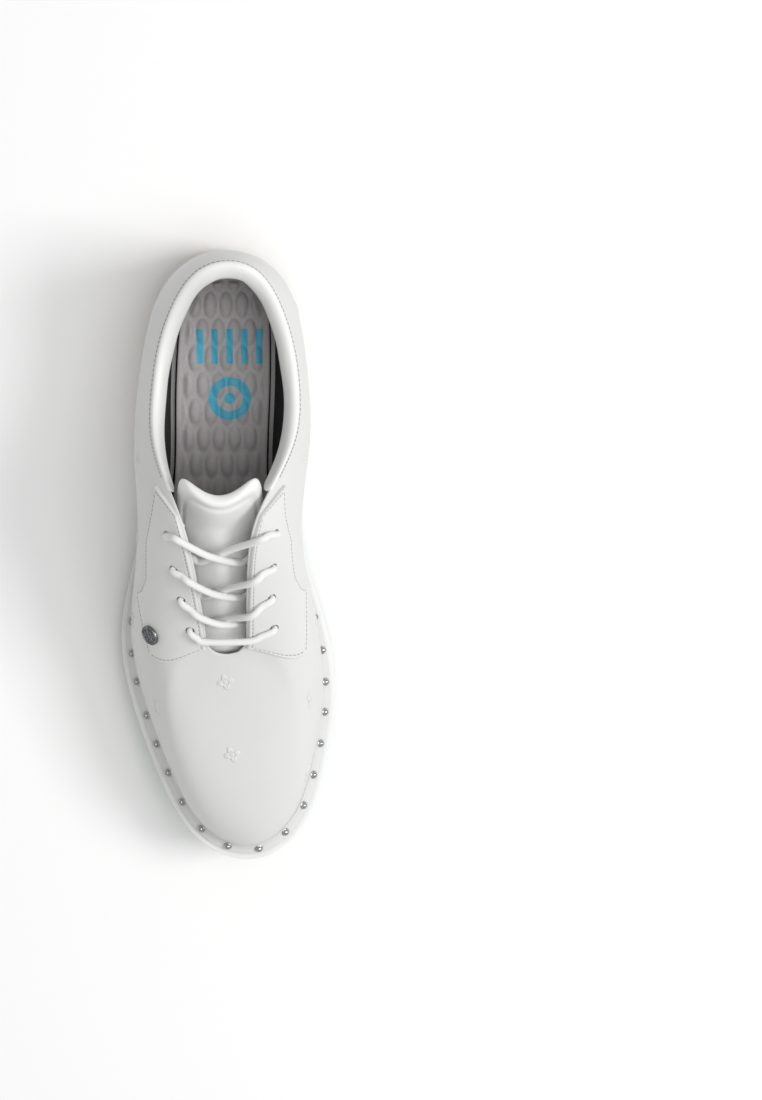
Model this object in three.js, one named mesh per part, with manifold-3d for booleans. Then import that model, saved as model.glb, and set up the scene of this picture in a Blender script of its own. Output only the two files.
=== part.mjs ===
// Right golf shoe: laced leather derby on a studded welt and a spiked outsole.
// Millimetres. +Z up, z = 0 on the floor, toe towards -Y, heel towards +Y,
// outer (lateral) side towards -X, inner (medial) side towards +X.
//
// The shoe is drawn round a single angle: 0 at the back of the heel, a quarter turn on the
// outer side, a half turn at the tip of the toe, three quarters on the inner side.

import * as THREE from 'three';
import { mergeVertices } from 'three/addons/utils/BufferGeometryUtils.js';
import Module from 'manifold-3d';

// ---------------------------------------------------------------- overall sizes
const LENGTH = 300;          // toe tip to heel, over the welt
const WIDTH = 106;           // widest part of the welt, ball of the foot
const HEIGHT = 136;          // floor to the tip of the tongue

// ---------------------------------------------------------------- sizes of the pieces
const GAP = 0.35;            // air left between two pieces that lie on each other
const OVERLAY_GAP = 0.55;    // the same for a flat or finer piece laid on the curved upper
const LEATHER = 1.4;         // upper leather
const STIFFENER = 0.8;       // heel counter and toe puff
const LINING = 0.9;          // black inner lining
const FACING = 1.3;          // facing leather laid over the quarters
const FEATHER_INSET = 7.2;   // from the welt's edge in to the foot of the upper
const WELT_WIDTH = 13;       // width of the welt ring
const WELT_CHAMFER = 0.8;
const RAND_INSET = 2.8;      // from the welt's edge in to the sloped strip
const RAND_RISE = 3.6;       // height of the sloped strip above the welt
const BOARD_INSET = 12.6;    // from the welt's edge in to the insole board
const BOARD = 2.2;           // insole board thickness
const FOOTBED_FOAM = 4.4;
const FOOTBED_COVER = 1.1;
const FOOTBED_CLEARANCE = 0.8;
const SHANK_WIDTH = 14;
const SHANK_THICKNESS = 1.2;
const OUTSOLE_CHAMFER = 1.4;
const HEEL_BREAST = 59;      // front face of the heel, forward of the middle at +Y
const HEEL_BOTTOM = 6.4;     // underside of the heel block above the floor
const PLATE = 1.6;           // thickness of the plates that carry the lugs
const LUG_HEIGHT = 7.2;
const LUG_RADIUS = 4.3;
const STUD_COUNT = 42;
const STUD_FLANGE = 2.1;     // radius of a stud's ring
const STUD_DOME = 1.7;       // height of a stud's dome
const LACE = 3.2;            // lace diameter
const LACE_CLEARANCE = 1.2;  // by which the punched holes are wider than the lace
const EYELET_HOLE = LACE + LACE_CLEARANCE;
const EYELET_WALL = 0.9;     // width of the hidden eyelet rings' metal
const EYELET_RING = EYELET_HOLE + 2 * EYELET_WALL;
const EYELET_THICKNESS = 0.8;
const BADGE = 10;            // diameter of the round ornament
const BADGE_THICKNESS = 1.6;
const COLLAR_DEPTH = 33;     // how far the padded collar reaches down inside
const COLLAR_FOAM = 5;
const COLLAR_SKIN = 1;

// ---------------------------------------------------------------- stations of the last
// Drawn at the sample size and graded to LENGTH, WIDTH and HEIGHT.
const SAMPLE = { length: 300, width: 106, height: 136 };
const gradeX = WIDTH / SAMPLE.width;
const gradeY = LENGTH / SAMPLE.length;
const gradeZ = HEIGHT / SAMPLE.height;
const TURN = 2 * Math.PI;

// Welt edge, every 15 degrees: heel, outer side, toe, inner side.
const WELT_X = [0, -18.5, -32, -36.5, -38, -39, -45.5, -53, -47.5, -36.5, -24.5, -9,
  9.5, 25.5, 39.5, 48, 53, 49.5, 38, 33, 34, 34.5, 31.5, 18.5];

// Heights along the sole, every 15 degrees from heel to toe.
const WELT_TOP_Z = [31.5, 31.4, 31, 29.9, 27.8, 24, 19.8, 19.7, 23.8, 30.3, 37, 42.4, 44];
const WELT_BOTTOM_Z = [24, 24, 23.6, 23, 21, 17.2, 12.6, 12.1, 17, 22.7, 29.3, 34.8, 36.5];
const SOLE_BOTTOM_Z = [15, 15, 15, 14.8, 13.6, 11.6, 7.5, 7.2, 10, 16.6, 23, 29, 31];

// Opening edge of the upper: topline, facing edges and throat, every 15 degrees.
const OPENING = [
  [0, 144.5, 108.5], [-14.5, 139, 106], [-25, 123.5, 96.5], [-31.5, 104.5, 89],
  [-34.5, 84, 88.5], [-33.5, 59, 101], [-23, 30, 127], [-16, 0, 111.5],
  [-12, -27, 91.5], [-10.8, -36, 85], [-8, -40, 82.3], [-4.8, -41.5, 81.5],
  [-1.2, -42, 81.3], [2.4, -41.5, 81.5], [5.6, -40, 82.3], [8.4, -36, 85],
  [8.8, -27, 91.5], [9.2, 0, 111.5], [14, 30, 128], [29, 59, 103],
  [33, 84, 92], [30.5, 105, 92.5], [24.5, 124, 99], [14.5, 139.5, 107.5],
];

// Fullness of the upper, every 30 degrees: how far out and up its wall is pulled at the
// foot, and how far out and down at the opening edge.
const FOOT_OUT = [9.5, 11, 14, 10, 2.5, 0.5, 1, 0.5, 3, 12, 15, 11];
const FOOT_UP = [26, 26, 24, 32, 30, 30, 34, 30, 30, 30, 24, 26];
const EDGE_OUT = [7, 9, 13, 22, 28, 38, 44, 38, 28, 20, 10, 8];
const EDGE_DOWN = [23, 22, 22, 16, 9, 14, 18, 14, 9, 16, 22, 22];

// ---------------------------------------------------------------- curves
// A smooth closed curve (periodic cubic spline) through evenly spaced values.
function closedSpline(values) {
  const n = values.length;
  let knots = values.slice();
  for (let pass = 0; pass < 60; pass++) {
    knots = values.map((value, i) => 1.5 * value - 0.25 * (knots[(i + n - 1) % n] + knots[(i + 1) % n]));
  }
  return (angle) => {
    const t = (angle / TURN) * n;
    const i = Math.floor(t);
    const f = t - i;
    const knot = (j) => knots[(((i + j) % n) + n) % n];
    const before = (1 - f) ** 3 * knot(-1) + (3 * f ** 3 - 6 * f ** 2 + 4) * knot(0);
    const after = (-3 * f ** 3 + 3 * f ** 2 + 3 * f + 1) * knot(1) + f ** 3 * knot(2);
    return (before + after) / 6;
  };
}

// A height that depends on y alone, through values given from heel to toe.
function heightLine(values) {
  const spline = closedSpline([...values, ...values.slice(1, -1).reverse()]);
  return (y) => gradeZ * spline(Math.acos(THREE.MathUtils.clamp(y / (LENGTH / 2), -1, 1)));
}

const radians = THREE.MathUtils.degToRad;
const weltX = closedSpline(WELT_X);
const weltTop = heightLine(WELT_TOP_Z);
const weltBottom = heightLine(WELT_BOTTOM_Z);
const soleBottom = heightLine(SOLE_BOTTOM_Z);
const openingX = closedSpline(OPENING.map((p) => p[0]));
const openingY = closedSpline(OPENING.map((p) => p[1]));
const openingZ = closedSpline(OPENING.map((p) => p[2]));
const footOut = closedSpline(FOOT_OUT);
const footUp = closedSpline(FOOT_UP);
const edgeOut = closedSpline(EDGE_OUT);
const edgeDown = closedSpline(EDGE_DOWN);

// The welt's edge in plan, and the outward direction there.
function weltEdge(angle) {
  return new THREE.Vector3(gradeX * weltX(angle), (LENGTH / 2) * Math.cos(angle), 0);
}
function outward(angle) {
  const step = 0.004;
  const along = weltEdge(angle + step).sub(weltEdge(angle - step)).normalize();
  return new THREE.Vector3(along.y, -along.x, 0);
}
// A point of the sole: an inset from the welt's edge at a height line.
function solePoint(angle, inset, line, lift = 0) {
  const p = weltEdge(angle).addScaledVector(outward(angle), -inset);
  p.z = line(p.y) + lift;
  return p;
}

// Outer surface of the upper: v runs from 0 on the welt to 1 on the opening edge.
function upperSurface(angle, v) {
  const out = outward(angle);
  const foot = solePoint(angle, FEATHER_INSET, weltTop, GAP);
  const edge = new THREE.Vector3(
    gradeX * openingX(angle), gradeY * openingY(angle), gradeZ * openingZ(angle));
  const lower = foot.clone().addScaledVector(out, gradeX * footOut(angle));
  lower.z += gradeZ * footUp(angle);
  const upper = edge.clone().addScaledVector(out, gradeX * edgeOut(angle));
  upper.z -= gradeZ * edgeDown(angle);
  return foot.multiplyScalar((1 - v) ** 3)
    .addScaledVector(lower, 3 * v * (1 - v) ** 2)
    .addScaledVector(upper, 3 * v * v * (1 - v))
    .addScaledVector(edge, v ** 3);
}
function upperNormal(angle, v) {
  const step = 0.004;
  const across = upperSurface(angle + step, v).sub(upperSurface(angle - step, v));
  const up = upperSurface(angle, v + step).sub(upperSurface(angle, v - step));
  return across.cross(up).normalize();
}
// A point a given distance off the surface: outside is positive.
function upperPoint(angle, v, off) {
  return upperSurface(angle, v).addScaledVector(upperNormal(angle, v), off);
}
// The v that lies a given distance below the opening edge, along the surface. A negative
// distance is above the edge.
function below(angle, distance) {
  const step = 0.01;
  let v = 1;
  let last = upperSurface(angle, v);
  let gone = 0;
  if (distance < 0) {
    return 1 - (distance * step) / upperSurface(angle, 1 + step).distanceTo(last);
  }
  while (gone < distance) {
    v -= step;
    const next = upperSurface(angle, v);
    gone += next.distanceTo(last);
    last = next;
  }
  return v;
}

// The angle and v of the place on the upper seen at (y, z) from one side.
// side is -1 for the outer side of the shoe and +1 for the inner side.
function locate(side, y, z) {
  const target = new THREE.Vector2(gradeY * y, gradeZ * z);
  const best = { angle: radians(105), v: 0.75, miss: Infinity };
  let reach = 1;
  for (let pass = 0; pass < 14; pass++) {
    const centre = { ...best };
    for (let i = -4; i <= 4; i++) {
      for (let j = -4; j <= 4; j++) {
        const angle = centre.angle + radians(12) * reach * i;
        const v = Math.min(centre.v + 0.08 * reach * j, 1.05);
        const p = upperSurface(side < 0 ? angle : TURN - angle, v);
        const miss = target.distanceTo(new THREE.Vector2(p.y, p.z));
        if (miss < best.miss) Object.assign(best, { angle, v, miss });
      }
    }
    reach *= 0.55;
  }
  return { angle: side < 0 ? best.angle : TURN - best.angle, v: best.v };
}

// ---------------------------------------------------------------- solids
// Rings of points joined into one closed solid. Each ring has an even number of points, and
// an open run of rings is closed at its ends by strips across the first and the last ring.
function sweep(rings, closed) {
  const count = rings[0].length;
  const positions = rings.flat().flatMap((p) => [p.x, p.y, p.z]);
  const index = [];
  const at = (i, j) => (i % rings.length) * count + (j % count);
  const last = closed ? rings.length : rings.length - 1;
  for (let i = 0; i < last; i++) {
    for (let j = 0; j < count; j++) {
      index.push(at(i, j), at(i + 1, j), at(i + 1, j + 1));
      index.push(at(i, j), at(i + 1, j + 1), at(i, j + 1));
    }
  }
  if (!closed) {
    for (let j = 0; j < count / 2 - 1; j++) {
      const [a, b, c, d] = [j, j + 1, count - 2 - j, count - 1 - j];
      index.push(at(0, a), at(0, b), at(0, c), at(0, a), at(0, c), at(0, d));
      const end = rings.length - 1;
      index.push(at(end, a), at(end, c), at(end, b), at(end, a), at(end, d), at(end, c));
    }
  }
  const geometry = new THREE.BufferGeometry();
  geometry.setAttribute('position', new THREE.Float32BufferAttribute(positions, 3));
  geometry.setIndex(index);
  return facingOut(geometry);
}

// Turns a closed mesh the right way out: its signed volume has to be positive.
function facingOut(geometry) {
  const position = geometry.attributes.position;
  const index = geometry.index.array;
  const corner = (k) => new THREE.Vector3().fromBufferAttribute(position, index[k]);
  let volume = 0;
  for (let k = 0; k < index.length; k += 3) {
    volume += corner(k).dot(corner(k + 1).cross(corner(k + 2)));
  }
  if (volume < 0) {
    for (let k = 0; k < index.length; k += 3) {
      [index[k + 1], index[k + 2]] = [index[k + 2], index[k + 1]];
    }
  }
  return geometry;
}

const wasm = await Module();
wasm.setup();

function toSolid(geometry) {
  const bare = geometry.clone();
  bare.deleteAttribute('normal');
  bare.deleteAttribute('uv');
  const merged = mergeVertices(bare, 1e-4);
  return new wasm.Manifold(new wasm.Mesh({
    numProp: 3,
    vertProperties: new Float32Array(merged.attributes.position.array),
    triVerts: new Uint32Array(merged.index.array),
  }));
}
function toGeometry(solid) {
  const mesh = solid.getMesh();
  const geometry = new THREE.BufferGeometry();
  geometry.setAttribute('position', new THREE.BufferAttribute(mesh.vertProperties, 3));
  geometry.setIndex(new THREE.BufferAttribute(mesh.triVerts, 1));
  return geometry;
}
function joined(geometries) {
  return toGeometry(geometries.map(toSolid).reduce((sum, solid) => sum.add(solid)));
}
function cut(geometry, tools) {
  return toGeometry(tools.map(toSolid).reduce((rest, tool) => rest.subtract(tool), toSolid(geometry)));
}

// A geometry drawn along +Y, turned to point along a direction and moved to a place.
function placed(geometry, place, direction) {
  const turn = new THREE.Quaternion().setFromUnitVectors(new THREE.Vector3(0, 1, 0), direction);
  return geometry.clone().applyQuaternion(turn).translate(place.x, place.y, place.z);
}

// Values from a to b in equal steps, both ends included.
const spread = (a, b, steps) => Array.from({ length: steps + 1 }, (_, i) => a + ((b - a) * i) / steps);

// Shared angles: all pieces of the upper and of the sole use the same ones.
const UPPER_STEPS = 50;
const UPPER_ROWS = 9;
const roundAngles = Array.from({ length: UPPER_STEPS }, (_, i) => (TURN * i) / UPPER_STEPS);
const SOLE_STEPS = 26;
const soleAngles = Array.from({ length: SOLE_STEPS }, (_, i) => (Math.PI * (i + 0.5)) / SOLE_STEPS);

// A leather layer on the upper between two v limits, from one offset to another.
function layer(angles, closed, lowV, highV, outer, inner, rows = UPPER_ROWS) {
  return sweep(angles.map((angle) => {
    const steps = spread(lowV(angle), highV(angle), rows);
    const outside = steps.map((v) => upperPoint(angle, v, outer));
    const inside = steps.map((v) => upperPoint(angle, v, inner)).reverse();
    return [...outside, ...inside];
  }), closed);
}

// A plate of the sole: across the shoe between two height lines, its lower edge chamfered.
function solePlate({ angles, inset, top, topLift, bottom, bottomLift, chamfer }) {
  return sweep(angles.map((angle) => {
    const other = TURN - angle;
    const side = (a, extra, line, lift) => solePoint(a, inset + extra, line, lift);
    const ring = [side(angle, 0, top, topLift), side(other, 0, top, topLift)];
    if (chamfer > 0) ring.push(side(other, 0, bottom, bottomLift + chamfer));
    ring.push(side(other, chamfer, bottom, bottomLift), side(angle, chamfer, bottom, bottomLift));
    if (chamfer > 0) ring.push(side(angle, 0, bottom, bottomLift + chamfer));
    return ring;
  }), false);
}

// ---------------------------------------------------------------- the parts
const shoe = new THREE.Group();

function add(name, geometry, colour, roughness, metalness = 0) {
  geometry.computeVertexNormals();
  const material = new THREE.MeshStandardMaterial({ color: colour, roughness, metalness });
  const mesh = new THREE.Mesh(geometry, material);
  mesh.name = name;
  shoe.add(mesh);
}

const WHITE_LEATHER = 0xe6e6e4;
const BLACK_LINING = 0x1c1a1b;
const BOARD_TAN = 0xb79a72;
const STEEL = 0xb9bbbe;

// ---- Sole unit ----
const HEEL_RISE = 1.5;       // slope of the heel breast
const breastY = gradeY * HEEL_BREAST;
const outsoleUnder = (y) => (y > breastY ? HEEL_BOTTOM : soleBottom(y));
const angleAt = (y) => Math.acos(y / (LENGTH / 2));
const breastAngles = [breastY + HEEL_RISE / 2, breastY - HEEL_RISE / 2].map(angleAt);
const outsoleAngles = [...soleAngles, ...breastAngles].sort((a, b) => a - b);

add('outsole', solePlate({
  angles: outsoleAngles, inset: 0, top: weltBottom, topLift: 0,
  bottom: outsoleUnder, bottomLift: 0, chamfer: OUTSOLE_CHAMFER,
}), 0xcdbca5, 0.6);

// Steel shank under the arch, let into the top of the cork midsole core.
const SHANK = { from: 66, to: -26, steps: 8 };
function shankBar(margin, top, low) {
  return sweep(spread(gradeY * SHANK.from + margin, gradeY * SHANK.to - margin, SHANK.steps).map((y) => {
    const side = SHANK_WIDTH / 2 + margin;
    const z = weltTop(y);
    const corners = [[-side, top], [side, top], [side, low], [-side, low]];
    return corners.map(([x, lift]) => new THREE.Vector3(x, y, z + lift));
  }), false);
}
const shankTop = -2 * GAP;
const shankLow = shankTop - SHANK_THICKNESS;
add('shank', shankBar(0, shankTop, shankLow), 0x8f9295, 0.4, 1);
add('midsole_core', cut(solePlate({
  angles: soleAngles, inset: WELT_WIDTH + GAP, top: weltTop, topLift: -GAP,
  bottom: weltBottom, bottomLift: GAP, chamfer: 0,
}), [shankBar(GAP, 1, shankLow - GAP)]), 0x8d6b46, 0.9);

add('welt', sweep(roundAngles.map((angle) => {
  const at = (inset, line, lift) => solePoint(angle, inset, line, lift);
  return [
    at(WELT_CHAMFER, weltTop, 0), at(0, weltTop, -WELT_CHAMFER),
    at(0, weltBottom, GAP + WELT_CHAMFER), at(WELT_CHAMFER, weltBottom, GAP),
    at(WELT_WIDTH, weltBottom, GAP), at(WELT_WIDTH, weltTop, 0),
  ];
}), true), 0xeeeeec, 0.5);

add('insole_board', solePlate({
  angles: soleAngles, inset: BOARD_INSET, top: weltTop, topLift: GAP + BOARD,
  bottom: weltTop, bottomLift: GAP, chamfer: 0,
}), BOARD_TAN, 0.9);

// Sloped strip that fills the corner between the welt and the upper.
const strip = roundAngles.map((angle) => {
  const foot = solePoint(angle, RAND_INSET, weltTop, GAP);
  const rise = RAND_RISE / (3 * gradeZ * footUp(angle));
  const top = upperPoint(angle, rise, GAP);
  const heel = upperPoint(angle, 0, GAP);
  heel.z = foot.z;
  return { foot, top, heel };
});
add('rand_strip', sweep(strip.map(({ foot, top, heel }) => {
  const crest = top.clone().lerp(foot, 0.1);
  return [foot, crest, top, heel];
}), true), 0xd8d8d6, 0.6);

// Plates with the lugs. Each row of lugs is its places along the shoe and its inset.
const lugPlates = {
  forefoot: {
    from: 50, to: -141, under: soleBottom, inset: 7,
    rows: [
      { ys: [44, 24, 4, -14, -32, -50, -70, -90, -108, -124], inset: 12.5 },
      { ys: [14, -6, -24, -42, -62, -82], inset: 28 },
      { ys: [-102], inset: 26 },
    ],
  },
  heel: {
    from: 143, to: 62, under: () => HEEL_BOTTOM, inset: 6,
    rows: [{ ys: [134, 118, 100, 84, 70], inset: 12 }],
  },
};
const PLATE_STEPS = 14;
function lugPlate({ from, to, under, inset }) {
  return solePlate({
    angles: spread(angleAt(gradeY * from), angleAt(gradeY * to), PLATE_STEPS),
    inset, top: under, topLift: -GAP,
    bottom: under, bottomLift: -GAP - PLATE, chamfer: 0,
  });
}
// One lug: a six-sided stub that narrows towards the ground.
const LUG_TAPER = 0.62;
function lug(angle, inset, under) {
  const foot = solePoint(angle, inset, under, -GAP - PLATE / 2);
  const tip = Math.max(0, under(foot.y) - LUG_HEIGHT);
  const height = foot.z - tip;
  const stub = new THREE.CylinderGeometry(LUG_RADIUS, LUG_RADIUS * LUG_TAPER, height, 6);
  stub.rotateX(Math.PI / 2);
  stub.rotateZ(angle);
  return stub.translate(foot.x, foot.y, tip + height / 2);
}
// Rows of lugs stand in pairs, one on each side of the shoe.
function lugRows({ rows, under }) {
  return rows.flatMap(({ ys, inset }) => ys.flatMap((y) => {
    const angle = angleAt(gradeY * y);
    return [lug(angle, inset, under), lug(TURN - angle, inset, under)];
  }));
}
const lugged = (plate) => joined([lugPlate(plate), ...lugRows(plate)]);
add('forefoot_lugs', lugged(lugPlates.forefoot), 0xc6dccf, 0.25);
add('heel_lugs', lugged(lugPlates.heel), 0xd8d6c8, 0.25);

// ---- Leather layers of the upper ----
const everyV = (value) => () => value;
const STACK_STIFFENER = -LEATHER - OVERLAY_GAP;
const STACK_LINING = STACK_STIFFENER - STIFFENER - GAP;
const STACK_INSIDE = STACK_LINING - LINING;
const EYELET_GAP = 1.4;      // between the lining and the hidden eyelet rings
const LACE_OVER = FACING + 2 * OVERLAY_GAP + LACE / 2;
const LACE_UNDER = STACK_INSIDE - EYELET_GAP - EYELET_THICKNESS - GAP - LACE / 2;
const TONGUE_CROWN = LACE_UNDER - LACE / 2 - OVERLAY_GAP;

// Eyelets from the top down as (y, z); those of the outer side sit nearer the gap.
const EYELETS = [[21.1, 118.1], [4.5, 108.2], [-11.2, 98.1], [-27.1, 88.5]];
const EYELET_LIFT = { lateral: 2, medial: -0.8 };
const eyelets = EYELETS.flatMap(([y, z], row) => [-1, 1].map((side) => {
  const { angle, v } = locate(side, y, z + (side < 0 ? EYELET_LIFT.lateral : EYELET_LIFT.medial));
  return { side, row, angle, v, place: upperSurface(angle, v), normal: upperNormal(angle, v) };
}));
const HOLE_DEPTH = 14;
const holes = eyelets.map(({ place, normal }) =>
  placed(new THREE.CylinderGeometry(EYELET_HOLE / 2, EYELET_HOLE / 2, HOLE_DEPTH, 10), place, normal));

const heelAngles = roundAngles.map((a) => (a > Math.PI ? a - TURN : a)).sort((a, b) => a - b);
const between = (a, b) => heelAngles.filter((angle) => angle >= radians(a) && angle <= radians(b));

// Stiffeners between the upper and its lining: reach in degrees either side of the middle,
// top as a share of the wall in the middle, and how much lower it is at the ends.
const COUNTER = { reach: 62, top: 0.5, fall: 0.25, rows: 6 };
const PUFF = { reach: 42, top: 0.42, fall: 0.2, rows: 6 };
const STIFFENER_FOOT = 0.02;
function stiffener({ reach, top, fall, rows }, angles, middle, ceiling) {
  const crest = (angle) => Math.min(top - fall * ((angle - middle) / radians(reach)) ** 2, ceiling(angle));
  const foot = () => STIFFENER_FOOT;
  return layer(angles, false, foot, crest, STACK_STIFFENER, STACK_STIFFENER - STIFFENER, rows);
}
const underCollar = (angle) => below(angle, COLLAR_DEPTH - 2);
const toeAngles = roundAngles.filter((angle) => Math.abs(angle - Math.PI) <= radians(PUFF.reach));
const counterAngles = between(-COUNTER.reach, COUNTER.reach);
add('heel_counter', stiffener(COUNTER, counterAngles, 0, underCollar), 0xc9b896, 0.9);
add('toe_puff', stiffener(PUFF, toeAngles, Math.PI, () => 1), 0xc9b896, 0.9);

// The padded collar runs round the back from one facing to the other.
const COLLAR_END = 83;       // degrees either side of the heel
const collarShare = (angle) => {
  const turn = Math.abs(angle > Math.PI ? angle - TURN : angle) / radians(COLLAR_END);
  return THREE.MathUtils.smoothstep(turn, 1.04, 1.22);
};
const liningTop = (angle) => {
  const low = below(angle, COLLAR_DEPTH + 2);
  return low + (1 - low) * collarShare(angle);
};

// Facings: four-sided leather patches on the quarters, from the throat to the top. Each row
// runs from the gap edge (an angle on the opening edge) to the outer edge (y, z from the side).
const FACING_ROWS = [
  { gap: 139, outer: [-42.7, 71] }, { gap: 126, outer: [-27, 74] },
  { gap: 117, outer: [-11.2, 77.2] }, { gap: 112, outer: [-9.8, 82.7] },
  { gap: 106, outer: [-3.5, 90] }, { gap: 99, outer: [15.5, 100.2] },
  { gap: 90, outer: [42.4, 113.7] },
];
const FACING_COLUMNS = 6;
function facing(side) {
  const rows = FACING_ROWS.map(({ gap, outer: [y, z] }) => ({
    gap: side < 0 ? radians(gap) : TURN - radians(gap),
    ...locate(side, y, z),
  }));
  const rings = [];
  for (let i = 0; i < (rows.length - 1) * 2 + 1; i++) {
    const [a, b] = [rows[Math.floor(i / 2)], rows[Math.ceil(i / 2)]];
    const mean = (key) => (a[key] + b[key]) / 2;
    const across = spread(0, 1, FACING_COLUMNS).map((t) => ({
      angle: mean('gap') * (1 - t) + mean('angle') * t,
      v: 1 - t + mean('v') * t,
    }));
    const outside = across.map(({ angle, v }) => upperPoint(angle, v, OVERLAY_GAP + FACING));
    const inside = across.map(({ angle, v }) => upperPoint(angle, v, OVERLAY_GAP)).reverse();
    rings.push([...outside, ...inside]);
  }
  return sweep(rings, false);
}

// Round ornament at the front corner of the outer facing: cap, rivet and inner washer.
const BADGE_PLACE = [-31, 79];
const BADGE_TOP = 0.84;      // share of the diameter left by the cap's bevel
const RIVET = 2.4;
const RIVET_HEAD = 1.2;      // how far the rivet stands past the washer's outer face
const WASHER = { diameter: 7, thickness: 0.8 };
const badgeSpot = locate(-1, ...BADGE_PLACE);
const badgeNormal = upperNormal(badgeSpot.angle, badgeSpot.v);
const badgeAt = (off) => upperPoint(badgeSpot.angle, badgeSpot.v, off);
const cylinder = (radius, height, sides) => new THREE.CylinderGeometry(radius, radius, height, sides);
const rivetHole = placed(cylinder(RIVET / 2 + GAP, HOLE_DEPTH, 10), badgeAt(0), badgeNormal);
add('upper', cut(
  layer(roundAngles, true, everyV(0), everyV(1), 0, -LEATHER), [...holes, rivetHole]), WHITE_LEATHER, 0.45);
add('lining', cut(
  layer(roundAngles, true, everyV(0), liningTop, STACK_LINING, STACK_INSIDE), [...holes, rivetHole]),
BLACK_LINING, 0.85);
add('facing_lateral', cut(facing(-1), [...holes, rivetHole]), WHITE_LEATHER, 0.45);
add('facing_medial', cut(facing(1), holes), WHITE_LEATHER, 0.45);

const capUnder = FACING + 2 * OVERLAY_GAP;
add('badge_cap', placed(
  new THREE.CylinderGeometry(BADGE_TOP * BADGE / 2, BADGE / 2, BADGE_THICKNESS, 16),
  badgeAt(capUnder + BADGE_THICKNESS / 2), badgeNormal), STEEL, 0.3, 1);
const washerOff = STACK_INSIDE - 2 * GAP;
const rivetLow = washerOff - RIVET_HEAD;
add('badge_rivet', placed(
  cylinder(RIVET / 2, capUnder - GAP - rivetLow, 10),
  badgeAt((capUnder - GAP + rivetLow) / 2), badgeNormal), STEEL, 0.4, 1);
const washerDisc = cylinder(WASHER.diameter / 2, WASHER.thickness, 14);
const washerBlank = placed(washerDisc, badgeAt(washerOff - WASHER.thickness / 2), badgeNormal);
add('badge_washer', cut(washerBlank, [rivetHole]), STEEL, 0.4, 1);

eyelets.forEach(({ side, row, angle, v, normal }, k) => {
  const place = upperPoint(angle, v, STACK_INSIDE - EYELET_GAP - EYELET_THICKNESS / 2);
  const ring = cut(placed(cylinder(EYELET_RING / 2, EYELET_THICKNESS, 12), place, normal), [holes[k]]);
  add(`eyelet_${side < 0 ? 'lateral' : 'medial'}_${row + 1}`, ring, STEEL, 0.4, 1);
});

// Padded collar: foam against the inside of the upper, and the soft leather that covers it,
// rolls over the topline and is sewn down to the lining. Sections are (below edge, offset).
const foamBack = STACK_STIFFENER;
const foamFront = foamBack - COLLAR_FOAM;
const skinFront = foamFront - GAP - COLLAR_SKIN;
const COLLAR_FOAM_SECTION = [
  [2, foamBack], [COLLAR_DEPTH * 0.5, foamBack], [COLLAR_DEPTH - 3, foamBack],
  [COLLAR_DEPTH - 3, foamBack - 1.3], [COLLAR_DEPTH * 0.5, foamFront], [3.5, foamFront + 0.8],
];
const COLLAR_SKIN_SECTION = [
  [-GAP - COLLAR_SKIN, 0], [-GAP - COLLAR_SKIN, -3.2], [0.6, skinFront + 0.8], [8, skinFront],
  [COLLAR_DEPTH * 0.55, skinFront], [COLLAR_DEPTH, STACK_INSIDE - COLLAR_SKIN],
  [COLLAR_DEPTH, STACK_INSIDE], [COLLAR_DEPTH * 0.55, skinFront + COLLAR_SKIN],
  [8, skinFront + COLLAR_SKIN], [1.6, skinFront + 1.8], [-GAP, -2.6], [-GAP, 0],
];
const collarAngles = between(-COLLAR_END - 1.5, COLLAR_END + 1.5);
const collarPiece = (section) => sweep(collarAngles.map((angle) =>
  section.map(([distance, off]) => upperPoint(angle, below(angle, distance), off))), false);
add('collar_foam', collarPiece(COLLAR_FOAM_SECTION), 0xe0d6b8, 0.95);
add('collar_lining', collarPiece(COLLAR_SKIN_SECTION), 0xefefed, 0.7);

// ---- Tongue ----
// Drawn along the instep: s runs up from the throat, h stands off the line of the facings.
const INSTEP_START = new THREE.Vector3(0, -42, 81.3);
const INSTEP_END = new THREE.Vector3(0, 26, 130.3);
const TONGUE = {
  from: -12, to: 95, skin: 1.2, foam: 4, lining: 0.8,
  instep: 31,                                   // half the width of the instep that it fits inside
  flareFrom: 66, flareTo: 98, lift: 8.5,         // its top lifts off the foot
  rootTo: 4, dip: 1.5,                           // its root dips under the vamp
  wrapLow: 0.014, wrapHigh: 0.012, wrapRim: 0.006,   // how it bends round the instep
  centreLow: -1.2, centreHigh: -3.2,             // it leans to the outer side
  lobes: 0.028,                                  // its top edge rises towards the corners
};
const TONGUE_STEPS = 14;
const TONGUE_COLUMNS = 6;
const tongueHalf = gradeX * TONGUE.instep + LACE_UNDER - LACE / 2;
const instepFoot = INSTEP_START.clone().multiply(new THREE.Vector3(1, gradeY, gradeZ));
const instepAlong = INSTEP_END.clone().multiply(new THREE.Vector3(1, gradeY, gradeZ)).sub(instepFoot);
const instepScale = instepAlong.length() / INSTEP_END.distanceTo(INSTEP_START);
instepAlong.normalize();
const instepOut = new THREE.Vector3(0, -instepAlong.z, instepAlong.y);

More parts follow.
